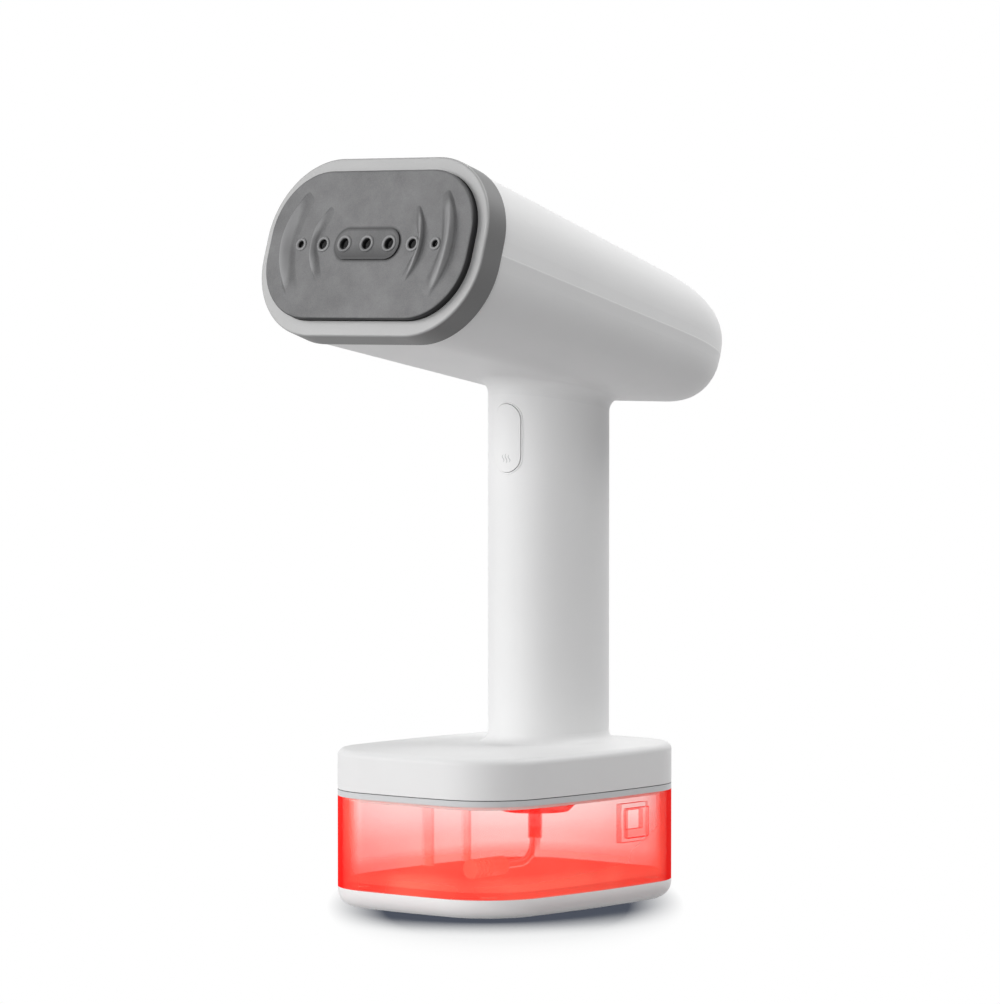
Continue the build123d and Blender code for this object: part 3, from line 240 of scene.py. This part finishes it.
def red_plastic(name, density):
    """Clear red plastic: a tinted glass wall, mixed by a density over the surface with a red body that glows,
    a painted glow.
    """
    material, at = new_finish(name)
    haze = at.speckle(60.0, 3.0)
    wall = at.add("ShaderNodeBsdfPrincipled", {}, {
        "Base Color": haze.blend((1.0, 0.88, 0.87), (1.0, 0.96, 0.95)),
        "Roughness": 0.05 + haze * 0.05,
        "Transmission Weight": 1.0,
        "IOR": 1.12,
    })
    height = at.add("ShaderNodeSeparateXYZ", {}, {0: at}, out=2)
    share, deep = density(at, height)
    streaks = ((at.speckle(28.0, 2.0) - 0.35) / 0.3).bounded()
    body_and_glow_tone = deep.blend(streaks.blend((0.95, 0.10, 0.07), (0.97, 0.21, 0.14)), (0.80, 0.008, 0.008))
    # The body gives off light in its own red: a painted glow.
    body = at.add("ShaderNodeBsdfPrincipled", {}, {
        "Base Color": body_and_glow_tone,
        "Roughness": 0.3 + haze * 0.1,
        "Specular IOR Level": 0.0,
        "Emission Color": body_and_glow_tone,
        "Emission Strength": 0.35,
    })
    tinted = at.add("ShaderNodeBsdfTransparent", {}, {"Color": (0.64, 0.62, 0.63, 1.0)})
    lit_through = at.add("ShaderNodeLightPath", out=1)
    plastic = at.add("ShaderNodeMixShader", {}, {0: (share + haze * 0.02).bounded(), 1: wall, 2: body})
    shadowed = at.add("ShaderNodeMixShader", {}, {0: lit_through, 1: plastic, 2: tinted})
    at.add("ShaderNodeOutputMaterial", {}, {"Surface": shadowed})
    return material


def depth_below(height):
    """0 in the clear upper part of the tank, 1 in its lower part, where more of the glowing body shows."""
    return ((CLEAR_ABOVE - height) / (CLEAR_ABOVE - DENSE_BELOW)).bounded()


def tank_density(at, height):
    """Denser downwards, more so in a band at the floor, which paints a glow there, and where the wall is seen
    along its length.
    """
    floor_glow = ((FLOOR_GLOW_BAND - height) / FLOOR_GLOW_FADE + 0.5).bounded()
    grazing = at.add("ShaderNodeLayerWeight", {}, {"Blend": 0.5}, out=1)
    edge = ((grazing - EDGE_FROM) * EDGE_RISE).bounded() * EDGE_SHARE
    return 1.0 - (1.0 - depth_below(height) * DEPTH_SHARE - floor_glow * FLOOR_GLOW_SHARE) * (1.0 - edge), edge


def flap_density(at, height):
    """As dense as the tank's wall, without its darker edges."""
    depth = depth_below(height)
    return 0.08 + depth * 0.2, depth * 0.1


def pickup_density(at, height):
    """A dense disc under the lid, with a paler stem and hose below it."""
    disc = ((height - DISC_UNDERSIDE) / DISC_FADE + 1.0).bounded()
    return 0.42 + disc * 0.3, 0.75 + disc * 0.1


def filter_density(at, height):
    """As dense as the tank's floor, on which it lies."""
    return 0.7 + height * 2.0, 0.42 + height * 1.0


dress(red_plastic("clear_red_tank", tank_density), "tank_shell")
dress(red_plastic("clear_red_flap", flap_density), "filler_flap")
dress(red_plastic("clear_red_pickup", pickup_density), "pickup_fitting", "dip_hose")
dress(red_plastic("dense_red_filter", filter_density), "sinking_filter")

# The tank's lid with its pale rim, a thin line between the tank and the cover.
# Moulded pale grey plastic, laid on a ring seal at the tank's edge.
pale, at = new_finish("pale_grey_plastic")
cloud = at.speckle(300.0)
close_finish(pale, at, {
    "Base Color": cloud.blend((0.60, 0.61, 0.62), (0.66, 0.67, 0.68)),
    "Roughness": 0.3 + cloud * 0.1,
    "Normal": at.speckle(4000.0).relief(0.15, 0.0001),
})
dress(pale, "tank_lid")

# The pump's hoses, the seals of the tank and the boiler, and the small lens below the power button.
# Milky silicone: the hoses are drawn as tube and pushed over their barbs, the seals are cut from sheet,
# and the lens is moulded.
milky, at = new_finish("milky_silicone")
cloud = at.speckle(400.0)
close_finish(milky, at, {
    "Base Color": cloud.blend((0.72, 0.70, 0.66), (0.80, 0.79, 0.76)),
    "Roughness": 0.4 + cloud * 0.15,
})
dress(milky, "lid_seal", "suction_hose", "feed_hose", "boiler_seal", "indicator_lens")

# The black mouldings inside: switch, plunger, relay, tact switch, pump plate, clamp frame and thermostat.
# Glass-filled nylon with a dull, slightly streaked skin; each is screwed or clipped to the handle or the
# boiler.
black, at = new_finish("black_nylon")
cloud = at.speckle(500.0, 4.0)
close_finish(black, at, {
    "Base Color": cloud.blend((0.018, 0.018, 0.019), (0.04, 0.04, 0.042)),
    "Roughness": 0.45 + cloud * 0.2,
})
dress(
    black, "steam_switch", "switch_plunger", "relay", "tact_switch", "pump_plate", "clamp_frame",
    "thermostat",
)

# The control board with its terminal block, inside the handle.
# Green glass-fibre laminate under a thin lacquer; four screws hold the board.
green, at = new_finish("green_laminate")
weave = at.speckle(1500.0, 2.0)
close_finish(green, at, {
    "Base Color": weave.blend((0.01, 0.09, 0.035), (0.025, 0.16, 0.06)),
    "Roughness": 0.35 + weave * 0.15,
})
dress(green, "control_board", "terminal_block")

# The pump's coil, which pulls the plunger.
# Lacquered copper wire, wound in close turns on the pump's tube.
TURNS_PER_METRE = 9000.0
copper, at = new_finish("copper_winding")
height = at.add("ShaderNodeSeparateXYZ", {}, {0: at}, out=2)
turns = (height * TURNS_PER_METRE).sine()
close_finish(copper, at, {
    "Base Color": (turns * 0.5 + 0.5).blend((0.35, 0.12, 0.04), (0.62, 0.27, 0.11)),
    "Metallic": 1.0,
    "Roughness": 0.35,
    "Normal": turns.relief(0.5, 0.0002),
})
dress(copper, "pump_coil")

# The boiler: a die-cast aluminium block with its lid, and the brass nozzle that feeds it.
# The casting skin is grey and grainy; the lid is screwed on over a seal, and the nozzle is turned from bar.
cast, at = new_finish("cast_aluminium")
grain = at.speckle(1200.0, 5.0)
close_finish(cast, at, {
    "Base Color": grain.blend((0.36, 0.36, 0.37), (0.56, 0.56, 0.56)),
    "Metallic": 0.9,
    "Roughness": 0.45 + grain * 0.25,
    "Normal": grain.relief(0.3, 0.0003),
})
dress(cast, "boiler_block", "boiler_lid")
brass, at = new_finish("turned_brass")
grain = at.speckle(2000.0)
close_finish(brass, at, {
    "Base Color": grain.blend((0.50, 0.33, 0.10), (0.66, 0.46, 0.18)),
    "Metallic": 1.0,
    "Roughness": 0.25 + grain * 0.15,
})
dress(brass, "inlet_nozzle")

# The head's two white shells, parted along a slanted plane on each side of the head.
# Moulded like the handle; the lower shell's edge stands a hair proud along the parting line.
HEAD_TILT = math.radians(17.57)
FACE = Vector((0.0, -0.07561, 0.239))
FACE_BACK = Vector((0.0, math.cos(HEAD_TILT), -math.sin(HEAD_TILT)))
FACE_UP = Vector((0.0, math.sin(HEAD_TILT), math.cos(HEAD_TILT)))
BARREL_START = 0.01305
SEAM_DROP, SEAM_LENGTH = 9.54, 162.5
SEAM_TILT = HEAD_TILT - math.atan(SEAM_DROP / SEAM_LENGTH)
LEDGE_FADE = 0.0005


def along(at, axis, origin):
    """Distance of a point from a plane through an origin, along the plane's normal."""
    shifted = at.add("ShaderNodeVectorMath", {"operation": "SUBTRACT"}, {0: at, 1: tuple(origin)})
    return at.add("ShaderNodeVectorMath", {"operation": "DOT_PRODUCT"}, {0: shifted, 1: tuple(axis)}, out=1)


def parting_ledge(at):
    """The lower shell's edge stands proud: 1 below the parting plane, 0 above it, with a fade of 0.5 mm."""
    normal = (0.0, math.sin(SEAM_TILT), math.cos(SEAM_TILT))
    over = along(at, normal, FACE + FACE_BACK * BARREL_START)
    return (0.5 - over / LEDGE_FADE).bounded()


# The upper shell is given a lighter white than the handle and the lower shell a darker one: painted light
# above the parting line and painted shade below it.
dress(white_moulding("satin_white_upper_painted_light", 0.83, 0.87, parting_ledge), "head_upper_shell")
dress(white_moulding("satin_white_lower_painted_shade", 0.78, 0.82, parting_ledge), "head_lower_shell")

# The silver ring round the steam plate, held between the head's shells and the plate's gasket.
# Moulded and painted with satin silver lacquer that has fine metal flakes; down its side the tone is much
# darker, a painted shade.
BEZEL_FRONT = 0.0031
BEZEL_TURN = 0.0008
silver, at = new_finish("silver_lacquer")
flakes = at.speckle(5000.0, 2.0)
cloud = at.speckle(50.0)
# Painted shade: the side wall behind the front band takes a much darker tone than the front.
shaded_side_wall = ((along(at, FACE_BACK, FACE) - BEZEL_FRONT) / BEZEL_TURN).bounded()
front_tone = flakes.blend((0.32, 0.32, 0.32), (0.40, 0.40, 0.40))
painted_shade_tone = flakes.blend((0.11, 0.11, 0.11), (0.16, 0.16, 0.16))
close_finish(silver, at, {
    "Base Color": shaded_side_wall.blend(front_tone, painted_shade_tone),
    "Metallic": 0.25,
    "Roughness": 0.42 + cloud * 0.08,
    "Normal": flakes.relief(0.08, 0.0001),
})
dress(silver, "bezel_ring")

# The steam plate: pressed aluminium with a dark hard coating, seven steam holes and a raised middle pad.
# The coating is painted darker in the groove round the pad and over the plate's edge, a painted shade; it is
# darker over the pad and more so towards its bottom, and lighter on what stands up, as wear and a painted
# highlight.
PAD_HALF = 0.00925
PAD_ROUND = 0.00575
PAD_LOW = 0.005
PAD_FADE = 0.0008
GROOVE_WIDE = 0.0011
EDGE_SHADE_START = 0.0001
EDGE_SHADE_FADE = 0.0003
CREST_START = 0.0006
CREST_FADE = 0.0008


def plate_finish(name, rub_and_highlight):
    """Dark coated metal with grain and blotches: painted shade at its edge and round the pad, darker over the
    pad and more so low on it, and lighter where it stands up or is rubbed, as wear and a painted highlight."""
    material, at = new_finish(name)
    blotch = at.speckle(90.0, 5.0, 0.6)
    grain = at.speckle(2600.0, 3.0)
    u = abs(at.add("ShaderNodeSeparateXYZ", {}, {0: at}, out=0))
    v = along(at, FACE_UP, FACE)
    behind = along(at, FACE_BACK, FACE)
    past = (u - PAD_HALF).at_least(0.0)
    out = (past * past + v * v).root() - PAD_ROUND
    # Painted shade in the groove round the pad and over the plate's rounded edge; the crests are lighter as
    # wear and a painted highlight.
    groove = (1.0 - abs(out) / GROOVE_WIDE).bounded()
    pad_darkening = (out / -PAD_FADE).bounded() * (0.25 + (v / -PAD_LOW).bounded() * 0.6)
    edge = ((behind - EDGE_SHADE_START) / EDGE_SHADE_FADE).bounded()
    crest_wear_and_highlight = ((behind + CREST_START) / -CREST_FADE).bounded() * 0.6
    wear_and_highlight_tone = blotch * 0.7 + grain * 0.4 + crest_wear_and_highlight + rub_and_highlight
    shade = wear_and_highlight_tone * (1.0 - groove * 0.9) * (1.0 - pad_darkening) * (1.0 - edge * 0.97)
    return close_finish(material, at, {
        "Base Color": shade.bounded().blend((0.012, 0.012, 0.013), (0.20, 0.20, 0.203)),
        "Metallic": 0.3,
        "Roughness": 0.42 + blotch * 0.12,
        "Normal": (grain * 0.3 + blotch - groove).relief(0.2, 0.0004),
    })


coating = plate_finish("dark_plate_coating", 0.0)
dress(coating, "steam_plate")

# The raised rims of the seven steam holes, in a row across the plate; the middle three stand on the pad.
# Pressed up out of the plate when it is formed; their coating is rubbed the most and is lightest, as wear and
# a painted highlight.
MERGE = 1e-7
SHARP = math.radians(60.0)
SUNK = 0.0003
HOLE_PITCH = 0.01046
HOLE_RADII = (0.0021, 0.0021, 0.00185, 0.00135)
PAD_RISE = 0.0005
RIM_MIDDLE = 0.0005
RIM_HALF = 0.0006
RIM_RISE = 0.0005
RIM_SET = 0.00005


def grid_piece(name, points, closed=True):
    """A mesh from a grid of points, rows by columns: where a closed shell's points meet they are merged,
    and its faces turn outwards."""
    index = np.arange(points.shape[0] * points.shape[1]).reshape(points.shape[:2])
    quads = np.stack([index[:-1, :-1], index[1:, :-1], index[1:, 1:], index[:-1, 1:]], axis=-1)
    mesh = bpy.data.meshes.new(name)
    mesh.from_pydata(points.reshape(-1, 3).tolist(), [], quads.reshape(-1, 4).tolist())
    if closed:
        shell = bmesh.new()
        shell.from_mesh(mesh)
        bmesh.ops.remove_doubles(shell, verts=shell.verts, dist=MERGE)
        bmesh.ops.recalc_face_normals(shell, faces=shell.faces)
        shell.to_mesh(mesh)
        shell.free()
    mesh.polygons.foreach_set("use_smooth", np.ones(len(mesh.polygons), dtype=bool))
    mesh.set_sharp_from_angle(angle=SHARP)
    mesh.update()
    piece = bpy.data.objects.new(name, mesh)
    bpy.context.scene.collection.objects.link(piece)
    return piece


def on_face(u, v, out):
    """Points of the head's frame: u to the right, v up the plate, out in front of it."""
    right, up, front = np.array((1.0, 0.0, 0.0)), np.array(FACE_UP), -np.array(FACE_BACK)
    return np.array(FACE) + u[..., None] * right + v[..., None] * up + out[..., None] * front


def hole_rim(centre, radius, lift):
    """A raised rim: a half circle over the plate and a shallow half oval under it, carried round a hole."""
    round_hole, over = np.meshgrid(np.linspace(0, 2 * np.pi, 49), np.linspace(0, 2 * np.pi, 25))
    reach = radius + RIM_MIDDLE - RIM_HALF * np.cos(over)
    out = np.sin(over) * np.where(np.sin(over) > 0, RIM_RISE, SUNK) - RIM_SET + lift
    return on_face(centre + reach * np.cos(round_hole), reach * np.sin(round_hole), out)


# The rims' coating is the lightest: wear and a painted highlight.
rub_and_highlight = plate_finish("rubbed_and_highlit_plate_coating", 0.7)
for i in range(-3, 4):
    lift = PAD_RISE if abs(i) < 2 else 0.0
    piece = grid_piece(f"hole_rim_{i + 4}", hole_rim(i * HOLE_PITCH, HOLE_RADII[abs(i)], lift))
    piece.data.materials.append(rub_and_highlight)
    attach(piece, "housing")

# The four crescents beside the outer steam holes, two on each side of the plate.
# Pressed up out of the plate like the rims; the inner pair is the smaller one.
INNER_FLANK = 0.75
OUTER_FLANK = 0.2
HOLE_REACH = 1.35
CLEAR_OF_RIM = 0.0006
CRESCENT_SET = 0.00004


def crescent(side, place, half, sag, height, wide, hole, clear):
    """A pressed crescent: along it an arc of a given sag, across it a steep outer and a long inner flank,
    each a squared sine. Beside the steam hole the inner flank draws back to the hole's rim, by a bell curve,
    and the ridge is lower there. The underside lies inside the plate and meets the top at both tips."""
    there, back = np.linspace(0, 1, 31), np.linspace(1, 0, 31)
    s, t = np.meshgrid(np.linspace(-1, 1, 81), np.concatenate([there, back, there[:1]]), indexing="ij")
    under = np.repeat([False, True, False], [len(there), len(back), 1])
    radius = (half * half + sag * sag) / (2 * sag)
    angle = s * np.arcsin(half / radius)
    full = np.cos(s * np.pi / 2)
    flank = INNER_FLANK * wide
    apart = hole - place + radius
    beside = 1 / (1 + (apart * np.sin(angle) / (HOLE_REACH * clear)) ** 4)
    inner = radius - flank + max(apart + clear - radius + flank, 0) * beside
    outer = radius + OUTER_FLANK * wide
    reach = inner + (outer - inner) * t
    rise = np.sin((reach - inner) / (radius - inner) * np.pi / 2) ** 2
    fall = np.cos((reach - radius) / (outer - radius) * np.pi / 2) ** 2
    ridge = height * full * ((radius - inner) / flank) ** 0.25
    top = ridge * np.where(reach < radius, rise, fall)
    u = side * (place - radius + reach * np.cos(angle))
    v = reach * np.sin(angle)
    return on_face(u, v, np.where(under, -SUNK * full, top) - CRESCENT_SET)


for name, place, half, sag, height, wide, hole in (
    ("inner_crescent", 0.0253, 0.0140, 0.0052, 0.0022, 0.0048, 2),
    ("outer_crescent", 0.0388, 0.0195, 0.0068, 0.0028, 0.0080, 3),
):
    clear = HOLE_RADII[hole] + CLEAR_OF_RIM
    for hand, side in (("left", -1), ("right", 1)):
        points = crescent(side, place, half, sag, height, wide, hole * HOLE_PITCH, clear)
        piece = grid_piece(f"{name}_{hand}", points)
        piece.data.materials.append(coating)
        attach(piece, "housing")

# The fine raised bead round the trigger's opening.
# Moulded in one with the handle, and as white as it is.
HANDLE_Y = 0.0246
HANDLE_A = 0.0210
HANDLE_B = 0.0240
TRIGGER_Z = 0.1690
TRIGGER_HALF_W = 0.0059
TRIGGER_HALF_H = 0.0124
BEAD_OUT = 0.0005
BEAD_R = 0.00035
BEAD_RISE = 0.7 * BEAD_R
BEAD_SET = 0.00004


def oval_front(x, half_x, half_y):
    """The front of an upright oval tube round the handle's middle: its y at a given x."""
    return HANDLE_Y - half_y * np.sqrt(1 - (x / half_x) ** 2)


def trigger_bead():
    """A bead carried round a stadium on the handle's oval front: half round outside, and a shallow half oval
    inside."""
    top, foot = np.linspace(0, np.pi, 81), np.linspace(np.pi, 2 * np.pi, 81)
    angle, over = np.meshgrid(np.concatenate([top, foot, top[:1]]), np.linspace(0, 2 * np.pi, 17))
    straight = (TRIGGER_HALF_H - TRIGGER_HALF_W) * np.repeat([1, -1, 1], [len(top), len(foot), 1])
    reach = TRIGGER_HALF_W + BEAD_OUT + BEAD_R * np.cos(over)
    lift = np.sin(over) * np.where(np.sin(over) > 0, BEAD_RISE, SUNK) - BEAD_SET
    x = reach * np.cos(angle)
    z = TRIGGER_Z + reach * np.sin(angle) + straight
    return np.stack([x, oval_front(x, HANDLE_A + lift, HANDLE_B + lift), z], axis=-1)


bead = grid_piece("trigger_bead", trigger_bead())
bead.data.materials.append(white)
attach(bead, "housing")

# The two coil springs: one pushes the trigger out, the other pushes the pump's plunger back down.
# Wound from round steel wire; each stands between a moving piece and a fixed face.
SPRING_ROOM = 0.00005
CAP_STEPS = (0.0, 0.6)
STEPS_PER_TURN = 48


def coil_spring(low, high, axis, turns, wire):
    """A round wire carried along a helix that fills a box: the angle and the place along the axis grow
    together, the wire's circle stands across the helix, and flat discs close both ends."""
    steps = np.linspace(0, 1, STEPS_PER_TURN * turns + 1)
    ends = len(CAP_STEPS)
    s = np.concatenate([np.zeros(ends), steps, np.ones(ends)])
    thick = np.concatenate([CAP_STEPS, np.ones(len(steps)), CAP_STEPS[::-1]])[:, None] * wire / 2
    s, round_wire = np.meshgrid(s, np.linspace(0, 2 * np.pi, 13), indexing="ij")
    across, over = (axis + 1) % 3, (axis + 2) % 3
    middle = (low + high) / 2
    reach = (high[across] - low[across] - wire) / 2 + thick * np.cos(round_wire)
    rise = wire / 2 + s * (high[axis] - low[axis] - wire) + thick * np.sin(round_wire)
    points = np.empty(s.shape + (3,))
    points[..., across] = middle[across] + reach * np.cos(2 * np.pi * turns * s)
    points[..., over] = middle[over] + reach * np.sin(2 * np.pi * turns * s)
    points[..., axis] = low[axis] + rise
    return points


for node, joint, axis, turns, wire in (
    ("trigger_spring", "steam_trigger_press", 1, 5, 0.0007),
    ("pump_spring", "pump_piston_stroke", 2, 3, 0.00049),
):
    low, high = np.array(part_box(node), float)
    travel = next(j for j in frame["joints"] if j["name"] == joint)["range_m"][1]
    low[axis] = low[axis] + SPRING_ROOM
    spring = grid_piece(f"wound_{node}", coil_spring(low, high, axis, turns, wire))
    spring.data.materials.append(steel)
    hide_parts(node)
    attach(spring, "housing")
    1 - travel / (high[axis] - low[axis])
    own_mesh(spring)

# The small mark on the trigger's lower third: three wisps of steam.
# Pad-printed in pale grey ink, a film that follows the trigger's round front.
TRIGGER_A = 0.0214
TRIGGER_B = 0.0244
WISP_HALF = 0.00024
WISP_SWAY = 0.0004
FILM_OVER = 0.00003
FILM_UNDER = 0.00005
ink, at = new_finish("pale_grey_ink")
grain = at.speckle(3000.0)
close_finish(ink, at, {
    "Base Color": grain.blend((0.50, 0.50, 0.51), (0.58, 0.58, 0.58)),
    "Roughness": 0.4 + grain * 0.1,
})


def wisp(x, low, tall):
    """A printed wisp: a thin film along a sine line up the trigger's oval front, pointed at both ends."""
    there, back = np.linspace(-1, 1, 5), np.linspace(1, -1, 5)
    up, across = np.meshgrid(np.linspace(0, 1, 41), np.concatenate([there, back, there[:1]]), indexing="ij")
    film = np.repeat([FILM_OVER, -FILM_UNDER, FILM_OVER], [len(there), len(back), 1])
    wide = WISP_HALF * np.sqrt(np.abs(np.sin(up * np.pi)))
    px = x + WISP_SWAY * np.sin(up * 2 * np.pi) + across * wide
    return np.stack([px, oval_front(px, TRIGGER_A + film, TRIGGER_B + film), low + up * tall], axis=-1)


for name, x, low, tall in (
    ("left", -0.0014, 0.1602, 0.0028),
    ("middle", 0.0, 0.1598, 0.0036),
    ("right", 0.0014, 0.1602, 0.0028),
):
    piece = grid_piece(f"steam_wisp_{name}", wisp(x, low, tall))
    piece.data.materials.append(ink)
    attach(piece, "trigger")

# The studio floor: a sheet that shows only a painted shadow under the base, so a lowered tank shows through
# it.
# The painted shadow is a dark emitting colour, as dark as the floor is closed in, close to the base and more
# faintly further out, within an oval that reaches further towards the camera than to the sides. To other rays
# the sheet is matt paper, and mirrors see it white.
TARGET = Vector((0.0, 0.0, 0.13444))
AZIMUTH, ELEVATION, DISTANCE = math.radians(40.0), math.radians(2.67), 1.9341
RIGHT = Vector((math.cos(AZIMUTH), math.sin(AZIMUTH), 0.0))
AHEAD = Vector((-math.sin(AZIMUTH), math.cos(AZIMUTH), 0.0))
UP = Vector((0.0, 0.0, 1.0))
VIEW = AHEAD * math.cos(ELEVATION) - UP * math.sin(ELEVATION)
FLOOR_Z = -0.0002
FLOOR_HALF = 4.0
CONTACT_REACH = 0.042
SOFT_REACH = 0.12
SOFT_SHARE = 0.35
SHADOW_HALF_WIDE = 0.050
SHADOW_HALF_DEEP = 0.135
ORIGIN = (0.0, 0.0, 0.0)

floor_paper, at = new_finish("white_floor_paper")
seen = at.add("ShaderNodeLightPath", out=0)
lit_through = at.add("ShaderNodeLightPath", out=1)
mirrored = at.add("ShaderNodeLightPath", out=3) + at.add("ShaderNodeLightPath", out=6)
matt = at.add("ShaderNodeBsdfDiffuse", {}, {"Color": (0.46, 0.46, 0.465, 1.0)})
close_by = at.add("ShaderNodeAmbientOcclusion", {"samples": 16}, {"Distance": CONTACT_REACH}, out=1)
around = at.add("ShaderNodeAmbientOcclusion", {"samples": 16}, {"Distance": SOFT_REACH}, out=1)
contact = (1.0 - (close_by - 0.62) / 0.36).bounded()
soft = (1.0 - (around - 0.75) / 0.23).bounded()
shade = 1.0 - (1.0 - contact) * (1.0 - soft * SOFT_SHARE)
across = along(at, RIGHT, ORIGIN) / SHADOW_HALF_WIDE
toward = along(at, VIEW, ORIGIN) / SHADOW_HALF_DEEP
shadow_oval = (1.0 - ((across * across + toward * toward).root() - 0.9) / 0.4).bounded()
clear = at.add("ShaderNodeBsdfTransparent", {}, {"Color": (1.0, 1.0, 1.0, 1.0)})
# Painted shadow: a dark emitting colour, not a shadow cast by the lamps.
shadow = at.add("ShaderNodeEmission", {}, {"Color": (0.075, 0.085, 0.11, 1.0), "Strength": 1.0})
sheet = at.add("ShaderNodeMixShader", {}, {0: shade * shadow_oval, 1: clear, 2: shadow})
paper = at.add("ShaderNodeMixShader", {}, {0: seen, 1: matt, 2: sheet})
open_paper = at.add("ShaderNodeMixShader", {}, {0: lit_through, 1: paper, 2: clear})
glow = at.add("ShaderNodeEmission", {}, {"Strength": 1.0})
both = at.add("ShaderNodeMixShader", {}, {0: mirrored.bounded(), 1: open_paper, 2: glow})
at.add("ShaderNodeOutputMaterial", {}, {"Surface": both})
ends = np.linspace(-FLOOR_HALF, FLOOR_HALF, 2)
span, rise = np.meshgrid(ends, ends, indexing="ij")
floor = grid_piece("studio_floor", np.stack([span, rise, np.full_like(span, FLOOR_Z)], axis=-1), False)
floor.data.materials.append(floor_paper)

# The studio's light: a white background, which lights the object only weakly, and four soft boxes.
# A key and a fill light stand on the left, and two lights hang above, behind and to the right.
WORLD_FILL = 0.265
world = bpy.data.worlds.new("white_studio")
bpy.context.scene.world = world
world.use_nodes = True
world.node_tree.nodes.clear()
air = Tone(world.node_tree)
seen, glossy, through = [air.add("ShaderNodeLightPath", out=out) for out in (0, 3, 6)]
fill = air.add("ShaderNodeBackground", {}, {"Color": (1.0, 1.0, 1.0, 1.0), "Strength": WORLD_FILL})
backdrop = air.add("ShaderNodeBackground", {}, {"Color": (1.0, 1.0, 1.0, 1.0), "Strength": 1.0})
sky = air.add("ShaderNodeMixShader", {}, {0: (seen + glossy + through).bounded(), 1: fill, 2: backdrop})
air.add("ShaderNodeOutputWorld", {}, {"Surface": sky})


def soft_light(name, place, wide, power):
    """A square soft box at a place, turned to the object's middle."""
    lamp = bpy.data.lights.new(name, "AREA")
    lamp.shape = "SQUARE"
    lamp.size = wide
    lamp.energy = power
    lit = bpy.data.objects.new(name, lamp)
    turn = (TARGET - place).to_track_quat("-Z", "Y").to_matrix().to_4x4()
    lit.matrix_world = Matrix.Translation(place) @ turn
    bpy.context.scene.collection.objects.link(lit)


soft_light("key_left", TARGET - RIGHT * 1.8 - VIEW * 0.2 + UP * 0.45, 1.4, 17.0)
soft_light("fill_left", TARGET - RIGHT * 0.9 - VIEW * 1.6 + UP * 0.3, 1.4, 15.0)
soft_light("top_soft", TARGET + RIGHT * 0.1 + VIEW * 1.1 + UP * 1.4, 0.8, 6.0)
soft_light("top_right", TARGET + RIGHT * 1.1 + VIEW * 0.4 + UP * 1.4, 1.0, 18.0)

# The camera: a long lens from the right front, a little above the object's middle.
# Its shift frames the object as the photograph does.
camera = bpy.data.cameras.new("photo_camera")
camera.sensor_fit = "AUTO"
camera.sensor_width = 36.0
camera.lens = 190.7
camera.shift_x = -0.0056
camera.shift_y = 0.0310
eye = bpy.data.objects.new("photo_camera", camera)
turn = VIEW.to_track_quat("-Z", "Y").to_matrix().to_4x4()
eye.matrix_world = Matrix.Translation(TARGET - VIEW * DISTANCE) @ turn
bpy.context.scene.collection.objects.link(eye)
bpy.context.scene.camera = eye
bpy.context.scene.view_settings.view_transform = "Standard"
